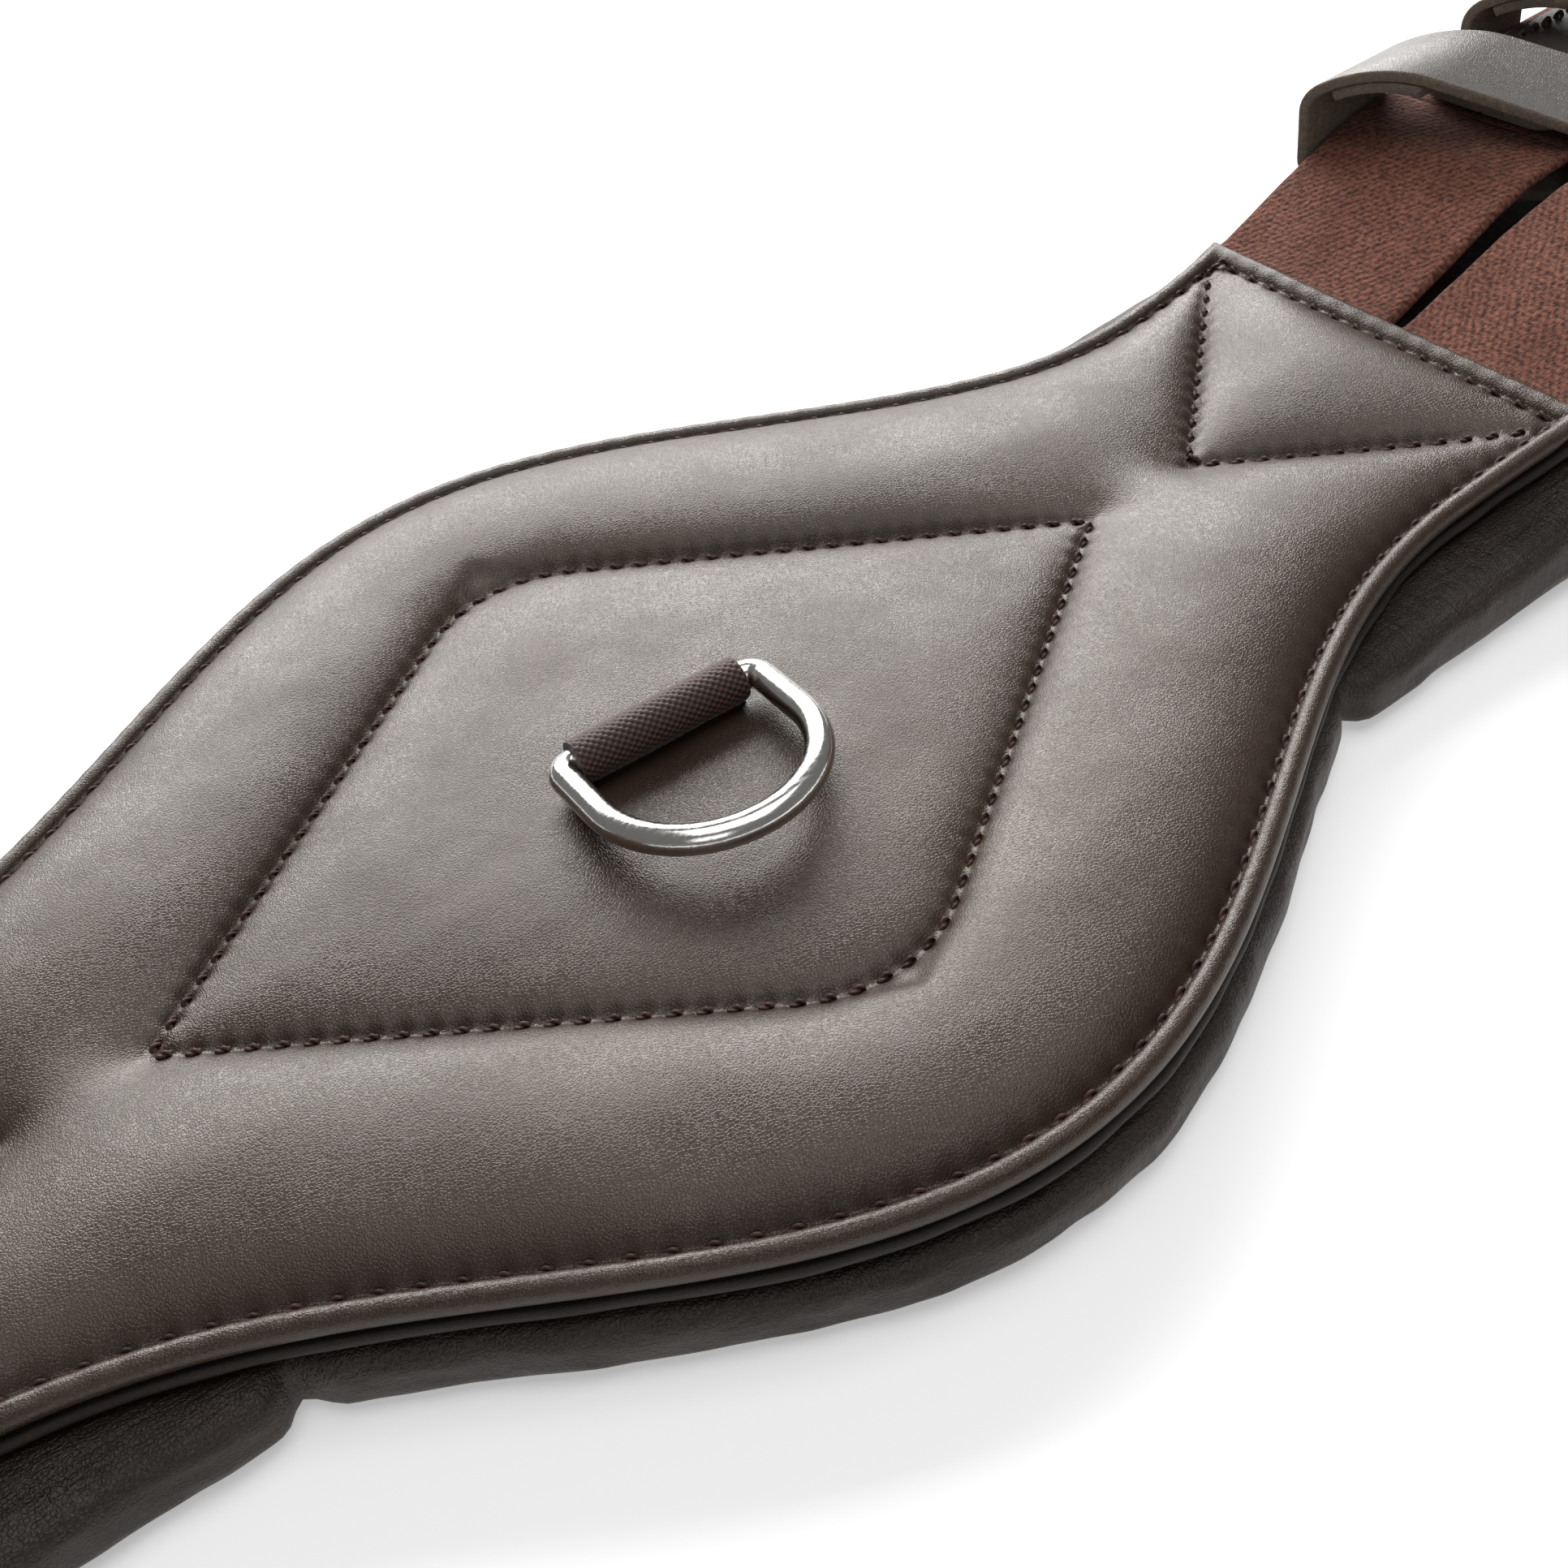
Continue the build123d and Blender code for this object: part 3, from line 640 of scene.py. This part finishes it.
def make_panel_leather():
    """The puffed top of the panel and, round its outline, the leather rolled over and tucked under."""
    x = panel_columns()
    y = panel_rows(x)
    x = np.broadcast_to(x, y.shape)
    rows, columns = y.shape
    top = np.stack([x, y, leather_height(x, y)], axis=-1)
    faces = grid_faces(rows, columns)
    index = np.arange(rows * columns).reshape(rows, columns)
    loop = np.concatenate([index[0, :-1], index[:-1, -1], index[-1, :0:-1], index[:0:-1, 0]])
    edge = top.reshape(-1, 3)[loop]
    row_of, column_of = loop // columns, loop % columns
    at_side = ((row_of == 0) | (row_of == rows - 1)).astype(float)
    at_end = ((column_of == 0) | (column_of == columns - 1)).astype(float)
    away = outward(edge[:, 0], edge[:, 1], at_side, at_end)
    near_end = np.maximum(at_end, 1 - step(PANEL_HALF - np.abs(edge[:, 0]), 1.0, 8.0))
    middle, half = bead_shape(near_end)
    rings = []
    for angle in np.radians(CURL_ANGLES):
        out = EDGE_STEPS[0] - (BEAD_CENTRE - BEAD_HALF * math.cos(angle))
        level = bearing(edge[:, 0]) + middle + half * math.sin(angle)
        rings.append(np.column_stack([edge[:, :2] + away * out, level]))
    points = [top.reshape(-1, 3)]
    previous = loop
    start = rows * columns
    for ring in rings:
        current = start + np.arange(len(loop))
        joined = np.stack([previous, current, np.roll(current, -1), np.roll(previous, -1)], axis=1)
        faces += joined.tolist()
        points.append(ring)
        previous = current
        start += len(loop)
    near, right = previous[: columns - 1], previous[columns - 1 : columns + rows - 2]
    far, left = previous[columns + rows - 2 : 2 * columns + rows - 3], previous[2 * columns + rows - 3 :]
    near = np.append(near, right[0])
    far = np.append(far, left[0])[::-1]
    faces += np.stack([near[:-1], far[:-1], far[1:], near[1:]], axis=1).tolist()
    faces.append([*right.tolist(), int(far[-1])])
    faces.append([*left.tolist(), int(near[0])])
    return np.vstack(points), faces


def panel_leather():
    points, faces = make_panel_leather()
    piece = add_piece("panel_leather", points, faces, [PANEL_LEATHER])
    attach(piece, "pad")
    tails = [f"{end}_{row}_elastic_tail" for end in ("left", "right") for row in ("near", "far")]
    pads = ["diamond_pad", "surround_pad", "left_triangle_pad", "right_triangle_pad"]
    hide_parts("outer_leather", "panel_foam", "load_webbing", *pads, *tails)


def backing():
    """The thin lower leather, whose rounded edge shows under the rolled one; its near-black colour is dark
    leather plus painted shade.
    """
    x = np.linspace(-PANEL_HALF, PANEL_HALF, 330)
    rings = []
    for place in x:
        half = half_width(place) + 0.05 + 0.125 * ripple(place, 0.0, 9, 30, 11)
        y, z = rounded_slab(float(half), *BACKING_LEVELS, BACKING_CORNER, 9)
        rings.append(np.column_stack([np.full(len(y), place), y, z + bearing(place)]))
    piece = add_piece("panel_backing_leather", *loft(rings), [BACKING_LEATHER_PAINTED_SHADE])
    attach(piece, "pad")
    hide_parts("panel_backing")


# ---- liner ------------------------------------------------------------------------
def liner_half_width(x):
    """A wavy lobe under the panel, a tuck at each waist, and a long strip with rounded ends."""
    ax = abs(x)
    lobe = half_width(x) + LINER_OVERHANG
    strip = LINER_MIDDLE_HALF - (LINER_MIDDLE_HALF - LINER_END_HALF) * ax / LINER_HALF
    into_end = max(0.0, ax - (LINER_HALF - LINER_END_RADIUS)) / LINER_END_RADIUS
    strip -= LINER_END_RADIUS * (1 - math.sqrt(max(0.0, 1 - into_end**2)))
    width = max(lobe, strip) if ax < LINER_TUCK_X else strip
    tuck = math.exp(-(((ax - LINER_TUCK_X) / LINER_TUCK_WIDTH) ** 2))
    return width - LINER_TUCK_DEPTH * tuck


def liner_section(x, count=96):
    """The liner's closed section at x: flat on the floor, bulging sides and a nearly flat top."""
    half = liner_half_width(x)
    top = float(bearing(x)) - LINER_TOP_GAP
    into_end = max(0.0, abs(x) - (LINER_HALF - LINER_END_ROUND)) / LINER_END_ROUND
    squeeze = math.sqrt(max(0.0, 1 - into_end**2))
    middle = top * 0.48
    angles = np.linspace(0, 2 * np.pi, count, endpoint=False)
    side = np.sign(np.cos(angles)) * np.abs(np.cos(angles)) ** 0.16
    rise = np.sign(np.sin(angles)) * np.abs(np.sin(angles)) ** 0.55
    y = half * side
    z = np.where(rise > 0, middle + (top - middle) * rise * squeeze, middle + middle * rise * squeeze)
    return y, z


def liner():
    """The soft leather liner: a lofted pad with creased, bulging walls."""
    at_end = np.array([0.02, 0.15, 0.4, 0.8, 1.4, 2.2, 3.2, 4.4])
    between = np.linspace(-LINER_HALF + 5.8, LINER_HALF - 5.8, 440)
    x = np.concatenate([at_end - LINER_HALF, between, LINER_HALF - at_end[::-1]])
    rings = []
    for place in x:
        y, z = liner_section(place)
        wall = step(np.abs(y), liner_half_width(place) - 9, liner_half_width(place) - 1)
        lift = step(z, 0.4, 4.0) * wall
        crease = 0.30 * ripple(place, z * 0.6, 12, 40, 21) + 0.10 * ripple(place, z * 1.5, 4, 9, 22)
        out = np.sign(y) * lift * crease
        drop = 0.3 * (1 - wall) * ripple(place, y, 12, 50, 23) - 0.3 * (1 - wall)
        z = np.where(z > 5, z + np.minimum(drop, 0) * step(z, 5, 8), z)
        rings.append(np.column_stack([np.full(len(y), place), y + out, np.maximum(z, 0.0)]))
    piece = add_piece("liner_leather", *loft(rings), [LINER_LEATHER])
    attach(piece, "pad")
    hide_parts("liner_cover", "liner_foam")


# ---- stitches -----------------------------------------------------------------------
PLY_RADIUS = 0.33
PLY_OFFSET = 0.24


def stitch_template(length):
    """Two twisted plies of one stitch, as (along, across, up), that dive into the leather at both ends."""
    rings, sides = 11, 6
    points, faces = [], []
    for ply in range(2):
        ring_points = []
        for i in range(rings):
            t = i / (rings - 1)
            arch = 0.55 - 1.3 * abs(2 * t - 1) ** 4
            twist = 2 * math.pi * (1.1 * t + 0.5 * ply)
            centre = (length * (t - 0.5), PLY_OFFSET * math.cos(twist), arch + PLY_OFFSET * math.sin(twist))
            for k in range(sides):
                angle = 2 * math.pi * k / sides
                across = centre[1] + PLY_RADIUS * math.cos(angle)
                ring_points.append((centre[0], across, centre[2] + PLY_RADIUS * math.sin(angle)))
        start = len(points)
        points += ring_points
        faces += [[start + v for v in face] for face in grid_faces(rings, sides, wrap=True)]
    return np.array(points), np.array(faces)


def stitch_mesh(route, pitch, height):
    """All stitches along a route; height gives the surface that they lie on."""
    ends, spacing = resampled(route, pitch)
    starts, stops = ends[:-1], ends[1:]
    template, faces = stitch_template(spacing * STITCH_SHARE)
    middles = (starts + stops) / 2
    run = stops - starts
    run /= np.maximum(np.hypot(*run.T), 1e-6)[:, None]
    rng = np.random.default_rng(len(starts))
    turned = STITCH_LEAN + rng.normal(0, STITCH_LEAN_SPREAD, len(starts))
    along = np.column_stack([
        run[:, 0] * np.cos(turned) - run[:, 1] * np.sin(turned),
        run[:, 0] * np.sin(turned) + run[:, 1] * np.cos(turned),
    ])
    across = np.column_stack([-along[:, 1], along[:, 0]])
    x = middles[:, :1] + along[:, :1] * template[:, 0] + across[:, :1] * template[:, 1]
    y = middles[:, 1:] + along[:, 1:] * template[:, 0] + across[:, 1:] * template[:, 1]
    base = height(*middles.T)
    slope = height(*(middles + along).T) - base
    z = base[:, None] + slope[:, None] * template[:, 0] + template[:, 2]
    points = np.stack([x, y, z], axis=-1).reshape(-1, 3)
    offsets = np.arange(len(starts)) * len(template)
    all_faces = (faces[None] + offsets[:, None, None]).reshape(-1, 4)
    return points, all_faces.tolist()


def add_stitches(name, node, route, pitch, height, body):
    piece = add_piece(name, *stitch_mesh(route, pitch, height), [THREAD])
    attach(piece, body)
    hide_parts(node)


def panel_stitches():
    add_stitches("edge_stitches", "edge_stitching", EDGE, EDGE_PITCH, leather_height, "pad")
    add_stitches("diamond_stitches", "diamond_stitching", DIAMOND, PATTERN_PITCH, leather_height, "pad")
    for end, route in TRIANGLES.items():
        name = end + "_triangle_stitch"
        add_stitches(name + "es", name + "ing", route, PATTERN_PITCH, leather_height, "pad")


# ---- webbing that holds the D-ring ----------------------------------------------------
WEB_CELL = (1.25, 1.15)
WEB_HALF_LENGTH = 13.7
WEB_OUTER = 3.45
WEB_INNER = 2.24
WEB_NECK = (0.9, 5.6)


def ring_webbing():
    """Coarse webbing round the ring's bar that runs down into a slit in the leather."""
    angles = np.radians(np.linspace(-70, 250, 100))
    inner_y = WEB_INNER * np.cos(angles[::-4])
    inner_z = WEB_INNER * np.sin(angles[::-4])
    neck_half, neck_low = WEB_NECK
    rings, cloth = [], []
    for place in np.linspace(-WEB_HALF_LENGTH, WEB_HALF_LENGTH, 130):
        columns = np.cos(2 * np.pi * place / WEB_CELL[0])
        weave = 0.5 + 0.5 * columns * np.cos(2 * np.pi * angles * WEB_OUTER / WEB_CELL[1])
        edge = step(WEB_HALF_LENGTH - abs(place), 0.0, 0.5)
        raised = WEB_OUTER - 0.30 * (1 - weave) * edge - 0.25 * (1 - edge)
        y = np.concatenate([raised * np.cos(angles), [-neck_half], inner_y, [neck_half]])
        z = np.concatenate([raised * np.sin(angles), [-neck_low], inner_z, [-neck_low]])
        plan = RING_PIN[:2] + place * RING_ALONG + y[:, None] * RING_ACROSS
        rings.append(np.column_stack([plan, z + RING_PIN[2]]))
        # The stored depth sets the painted shade: weave hollows and the loop's inner face are low, the neck
        # half-way.
        depth = np.concatenate([weave, [0.6], np.full(len(inner_y), 0.3), [0.6]])
        cloth.append(np.column_stack([np.full(len(y), place), z, depth]))
    piece = add_piece("ring_webbing", *loft(rings), [WEBBING_FABRIC])
    store_vectors(piece, "cloth", np.vstack(cloth))
    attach(piece, "pad")
    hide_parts("d_ring_loop")


# ---- straps --------------------------------------------------------------------------------
class Strap:
    """One strap's own frame: u along it from its flex line, v outwards across it, and z up."""

    def __init__(self, end, row):
        self.name = f"{end}_{row}"
        flex = JOINTS[self.name + "_strap_flex"]
        self.origin = np.array(flex["pos_m"]) / MM
        self.along = np.array(JOINTS[self.name + "_keeper_slide"]["axis"][:2])
        self.across = np.array([-self.along[1], self.along[0]])
        self.across *= np.sign(self.across[1] * self.origin[1])

    def place(self, points):
        """Points given as (u, v, z) put into the girth's frame."""
        points = np.asarray(points, float)
        plan = self.origin[:2] + points[:, :1] * self.along + points[:, 1:2] * self.across
        return np.column_stack([plan, points[:, 2]])

    def mark(self, u):
        """A place on the strap's middle line, in metres."""
        return tuple(self.place([(u, 0.0, STRAP_LEVEL)])[0] * MM)


def elastic_middle(u, flex_z):
    """Mid height of an elastic: it follows the panel inside it, climbs, then levels off."""
    inside = bearing(FLEX_X + u) + TAIL_MIDDLE
    climb = flex_z + STRAP_SLOPE * u
    level = -STRAP_BEND * np.logaddexp(-climb / STRAP_BEND, -STRAP_LEVEL / STRAP_BEND)
    return np.where(u < 0, inside, level)


def elastic_part(strap, name, start, stop):
    """A length of one elastic, with soft rounded selvedges."""
    deep = ELASTIC_THICK / 2
    rings, cloth = [], []
    for u in np.linspace(start, stop, round((stop - start) / ELASTIC_STEP)):
        narrow = ELASTIC_TUCK * (1 - step(u, *ELASTIC_WIDENS))
        half = ELASTIC_HALF - narrow + 0.12 * float(ripple(u, strap.origin[1], 5, 18, 31))
        edge_v, edge_z = rounded_slab(half, -deep, deep, deep, EDGE_POINTS)
        inner_v = np.linspace(-half + deep, half - deep, 32)[1:-1]
        top_z = deep + 0.10 * ripple(u, inner_v, 6, 30, 32)
        low_z = np.full(len(inner_v), -deep)
        v = np.concatenate([edge_v[:EDGE_POINTS], inner_v[::-1], edge_v[EDGE_POINTS:], inner_v])
        z = np.concatenate([edge_z[:EDGE_POINTS], top_z[::-1], edge_z[EDGE_POINTS:], low_z])
        middle = float(elastic_middle(u, strap.origin[2]))
        rings.append(strap.place(np.column_stack([np.full(len(v), u), v, z + middle])))
        cloth.append(np.column_stack([np.full(len(v), u), v, z]) * MM)
    piece = add_piece(name, *loft(rings), [ELASTIC_FABRIC])
    store_vectors(piece, "cloth", np.vstack(cloth))
    return piece


def elastic(strap):
    """Two lengths that meet under the keeper: one at the panel and one out to the chape."""
    sewn = elastic_part(strap, strap.name + "_elastic_at_panel", ELASTIC_START, ELASTIC_SPLIT)
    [strap.mark(u) for u in ELASTIC_BEND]
    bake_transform(sewn)
    free = elastic_part(strap, strap.name + "_elastic_at_chape", ELASTIC_SPLIT, ELASTIC_END)
    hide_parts(strap.name + "_elastic")
    stretch = (strap.mark(ELASTIC_SPLIT + 1.0), strap.mark(ELASTIC_END - 2.0))
    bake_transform(free)


# ---- chapes --------------------------------------------------------------------------------
TOP_RUN = BAR_U - CHAPE_TOP_START
FOLD_RUN = math.pi * FOLD_RADIUS
CHAPE_RUN = TOP_RUN + FOLD_RUN + BAR_U - CHAPE_BOTTOM_START
SLOT_LOW = SLOT_START - CHAPE_TOP_START
SLOT_HIGH = TOP_RUN + FOLD_RUN + BAR_U - SLOT_START


def chape_stops():
    """Places along the flat chape, close together at its ends and at the ends of the tongue slot."""
    near_end = CHAPE_CORNER * (1 - np.cos(np.linspace(0, np.pi / 2, 8)))
    near_slot = SLOT_HALF * (1 - np.cos(np.linspace(0, np.pi / 2, 6)))
    return np.unique(np.concatenate([
        near_end,
        np.linspace(CHAPE_CORNER, SLOT_LOW, 14),
        SLOT_LOW + near_slot,
        np.linspace(SLOT_LOW + SLOT_HALF, SLOT_HIGH - SLOT_HALF, 34),
        SLOT_HIGH - near_slot,
        np.linspace(SLOT_HIGH, CHAPE_RUN - CHAPE_CORNER, 12),
        CHAPE_RUN - near_end,
    ]).round(4))


def chape_point(along, across, out):
    """Where a point of the flat leather goes once it is folded round the buckle's bar."""
    past = along - TOP_RUN
    reach = FOLD_RADIUS + out
    if past <= 0:
        return BAR_U + past, across, STRAP_LEVEL + reach
    if past >= FOLD_RUN:
        return BAR_U - (past - FOLD_RUN), across, STRAP_LEVEL - reach
    angle = math.pi / 2 - math.pi * past / FOLD_RUN
    return BAR_U + reach * math.cos(angle), across, STRAP_LEVEL + reach * math.sin(angle)


def finger_ring(along, low, high):
    """A closed ring of points round one strip of the chape, with softened edges."""
    half = STRAP_THICK / 2
    corner = min(0.55, (high - low) / 2.2)
    ring = []
    for sign_v, sign_z, first in ((1, -1, -90), (1, 1, 0), (-1, 1, 90), (-1, -1, 180)):
        for i in range(4):
            angle = math.radians(first + 30 * i)
            across = (high - corner if sign_v > 0 else low + corner) + corner * math.cos(angle)
            out = sign_z * (half - corner) + corner * math.sin(angle)
            ring.append(chape_point(along, across, out))
    return ring


def quarter_inset(distance, radius):
    """How far a rounded corner has drawn an edge in, at a distance from the corner's end."""
    past = max(0.0, radius - distance)
    return radius - math.sqrt(max(0.0, radius**2 - past**2))


def chape(strap):
    """Strap leather folded round the buckle's bar, with a slot for the tongue and rounded free ends."""
    points, faces, materials = [], [], []
    for finger in (-1, 1):
        rings = []
        for along in chape_stops():
            outer = CHAPE_HALF - quarter_inset(min(along, CHAPE_RUN - along), CHAPE_CORNER)
            in_slot = min(along - SLOT_LOW, SLOT_HIGH - along)
            opening = SLOT_HALF - quarter_inset(in_slot, SLOT_HALF) if in_slot > 0 else 0.0
            low, high = (opening, outer) if finger > 0 else (-outer, -opening)
            rings.append(strap.place(finger_ring(along, low, high)))
        finger_points, finger_faces = loft(rings)
        size = len(rings[0])
        for face in finger_faces:
            on_top = len(face) == 4 and {v % size for v in face} == {7, 8}
            materials.append(0 if on_top else 1)
            faces.append([v + len(points) for v in face])
        points += finger_points.tolist()
    piece = add_piece(strap.name + "_chape_leather", points, faces, [STRAP_LEATHER, RAW_LEATHER], materials)
    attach(piece, strap.name + "_chape")
    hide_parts(strap.name + "_chape")
    start = CHAPE_TOP_START + CHAPE_SEAM_INSET
    inner = CHAPE_HALF - CHAPE_SEAM_INSET
    corner = CHAPE_SEAM_CORNER
    route = [(SLOT_START - CHAPE_SEAM_END_GAP, inner), (start + corner, inner), (start, inner - corner)]
    route += [(u, -v) for u, v in reversed(route)]
    route = strap.place([(u, v, 0.0) for u, v in route])[:, :2]
    level = STRAP_LEVEL + FOLD_RADIUS + STRAP_THICK / 2
    name = strap.name + "_chape_stitch"
    body = strap.name + "_chape"
    add_stitches(name + "es", name + "ing", route, CHAPE_PITCH, lambda x, y: np.full(x.shape, level), body)


# ---- keepers --------------------------------------------------------------------------------
def keeper_corners(low):
    """The keeper's outline as (across, z, radius): higher on its outer side."""
    return [
        (KEEPER_HALF, low, 3.0),
        (KEEPER_HALF, KEEPER_OUTER_Z, 5.0),
        (*KEEPER_CROWN, 26.0),
        (-KEEPER_HALF, KEEPER_INNER_Z, 4.0),
        (-KEEPER_HALF, low, 3.0),
    ]


def rounded_path(corners, spacing):
    """Evenly spaced points round a closed outline of (across, z, radius) corners, anticlockwise."""
    route = []
    count = len(corners)
    for i, (x, z, radius) in enumerate(corners):
        here = np.array([x, z])
        before = np.array(corners[i - 1][:2]) - here
        after = np.array(corners[(i + 1) % count][:2]) - here
        before /= np.linalg.norm(before)
        after /= np.linalg.norm(after)
        half_angle = math.acos(float(before @ after)) / 2
        centre = here + (before + after) / np.linalg.norm(before + after) * radius / math.sin(half_angle)
        start = here + before * radius / math.tan(half_angle) - centre
        turn = math.pi - 2 * half_angle
        for t in np.linspace(0, turn, 12):
            quarter_on = np.array([-start[1], start[0]])
            route.append(centre + start * math.cos(t) + quarter_on * math.sin(t))
    route.append(route[0])
    return resampled(route, spacing)[0][:-1]


def keeper_band(strap, path, out, low, high, start, width):
    """Rings of points round a leather band between two offsets from a path in (across, z)."""
    corner = 0.5
    skew = math.radians(KEEPER_SKEW)
    middle, half = (low + high) / 2, (high - low) / 2
    rings = []
    for i, (place, normal) in enumerate(zip(path, out)):
        sway = 0.3 * float(ripple(float(i), low, 20, 60, 41))
        ring = []
        for far_edge, top, first in ((0, 1, 90), (0, -1, 180), (1, -1, 270), (1, 1, 0)):
            for k in range(4):
                angle = math.radians(first + 30 * k)
                level = middle + top * (half - corner) + corner * math.sin(angle)
                across, z = place + normal * level
                along = corner + far_edge * (width - 2 * corner) + corner * math.cos(angle) + sway
                ring.append((start - across * math.sin(skew) + along, across * math.cos(skew), z))
        rings.append(strap.place(ring))
    return rings


def keeper(strap, kind, body, start, width, low):
    """A lopsided loop of strap leather whose ends lap on the inside of its crown."""
    path = rounded_path(keeper_corners(low), 1.0)
    run = np.roll(path, -1, axis=0) - np.roll(path, 1, axis=0)
    run /= np.hypot(*run.T)[:, None]
    out = np.column_stack([run[:, 1], -run[:, 0]])
    half = STRAP_THICK / 2
    rings = keeper_band(strap, path, out, -half, half, start, width)
    size = len(rings[0])
    faces = grid_faces(len(rings) + 1, size, wrap=True)
    faces = [[v % (size * len(rings)) for v in face] for face in faces]
    materials = [0 if {v % size for v in face} == {0, size - 1} else 1 for face in faces]
    on_top = path[:, 1] > (low + KEEPER_OUTER_Z) / 2
    lapped = on_top & (np.abs(path[:, 0] - KEEPER_CROWN[0]) < KEEPER_LAP_HALF)
    under = -half - KEEPER_LAP_GAP
    lap = keeper_band(strap, path[lapped], out[lapped], under - STRAP_THICK, under, start, width)
    lap_points, lap_faces = loft(lap)
    faces += [[v + len(rings) * size for v in face] for face in lap_faces]
    materials += [1] * len(lap_faces)
    points = np.vstack([np.vstack(rings), lap_points])
    name = strap.name + kind
    # The keeper leather carries a painted sheen, a lightened copy of the strap leather.
    piece = add_piece(name + "_leather", points, faces, [KEEPER_LEATHER_PAINTED_SHEEN, RAW_LEATHER], materials)
    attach(piece, strap.name + body)
    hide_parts(name)


# ---- metal ------------------------------------------------------------------------------------
def plate_with_nickel():
    """Every metal CAD node keeps its shape and gets the nickel material."""
    for name, node in frame["nodes"].items():
        if name == "d_ring" or "buckle" in name:
            node.data.materials.clear()
            node.data.materials.append(NICKEL)


# ---- stage --------------------------------------------------------------------------------------
CAMERA_PLACE = (-0.08732, -0.18701, 0.20241)
CAMERA_LOOK = (0.3574, 0.6338, -0.6860)
CAMERA_RIGHT = (0.8048, -0.5816, -0.1180)
CAMERA_LENS = 44.33


def stage():
    """A pale floor and the camera."""
    half = 4.0
    mesh = bpy.data.meshes.new("floor")
    corners = [(-half, -half, 0), (half, -half, 0), (half, half, 0), (-half, half, 0)]
    mesh.from_pydata(corners, [], [(0, 1, 2, 3)])
    mesh.materials.append(FLOOR)
    floor = bpy.data.objects.new("floor", mesh)
    bpy.context.scene.collection.objects.link(floor)

    look = Vector(CAMERA_LOOK).normalized()
    right = Vector(CAMERA_RIGHT)
    right = (right - right.dot(look) * look).normalized()
    up = right.cross(look)
    camera = bpy.data.objects.new("camera", bpy.data.cameras.new("camera"))
    camera.data.sensor_width = 36.0
    camera.data.lens = CAMERA_LENS
    camera.data.clip_start = 0.01
    turn = Matrix((right, up, -look)).transposed().to_4x4()
    camera.matrix_world = Matrix.Translation(CAMERA_PLACE) @ turn
    bpy.context.scene.collection.objects.link(camera)
    bpy.context.scene.camera = camera


def soft_light(name, place, target, size, radiance, colour=(1.0, 1.0, 1.0)):
    """A rectangular softbox that shines with the given radiance."""
    light = bpy.data.lights.new(name, "AREA")
    light.shape = "RECTANGLE"
    light.size, light.size_y = size
    light.energy = radiance * math.pi * size[0] * size[1]
    light.color = colour
    lamp = bpy.data.objects.new(name, light)
    lamp.location = place
    lamp.rotation_euler = (Vector(place) - Vector(target)).to_track_quat("Z", "Y").to_euler()
    bpy.context.scene.collection.objects.link(lamp)


def lights():
    soft_light("back_softbox", (1.2, 2.8, 1.65), (0.0, 0.0, 0.0), (3.8, 1.7), 10.6)
    soft_light("top_fill", (0.4, -0.2, 3.2), (0.0, 0.0, 0.0), (2.6, 2.6), 2.2)
    soft_light("front_fill", (-1.6, -2.4, 2.0), (0.0, 0.0, 0.0), (1.6, 1.4), 1.2)
    world = bpy.data.worlds.new("studio")
    world.use_nodes = True
    world.node_tree.nodes["Background"].inputs["Color"].default_value = (1, 1, 1, 1)
    world.node_tree.nodes["Background"].inputs["Strength"].default_value = 0.16
    bpy.context.scene.world = world
    bpy.context.scene.view_settings.view_transform = "Standard"


# ---- everything ----------------------------------------------------------------------------------
stage()
lights()
panel_leather()
backing()
liner()
panel_stitches()
ring_webbing()
for end in ("left", "right"):
    for row in ("near", "far"):
        strap = Strap(end, row)
        elastic(strap)
        chape(strap)
        keeper(strap, "_keeper", "_keeper", KEEPER_START, KEEPER_WIDTH, KEEPER_LOW)
        keeper(strap, "_sewn_keeper", "_chape", SEWN_KEEPER_START, SEWN_KEEPER_WIDTH, SEWN_KEEPER_LOW)
plate_with_nickel()
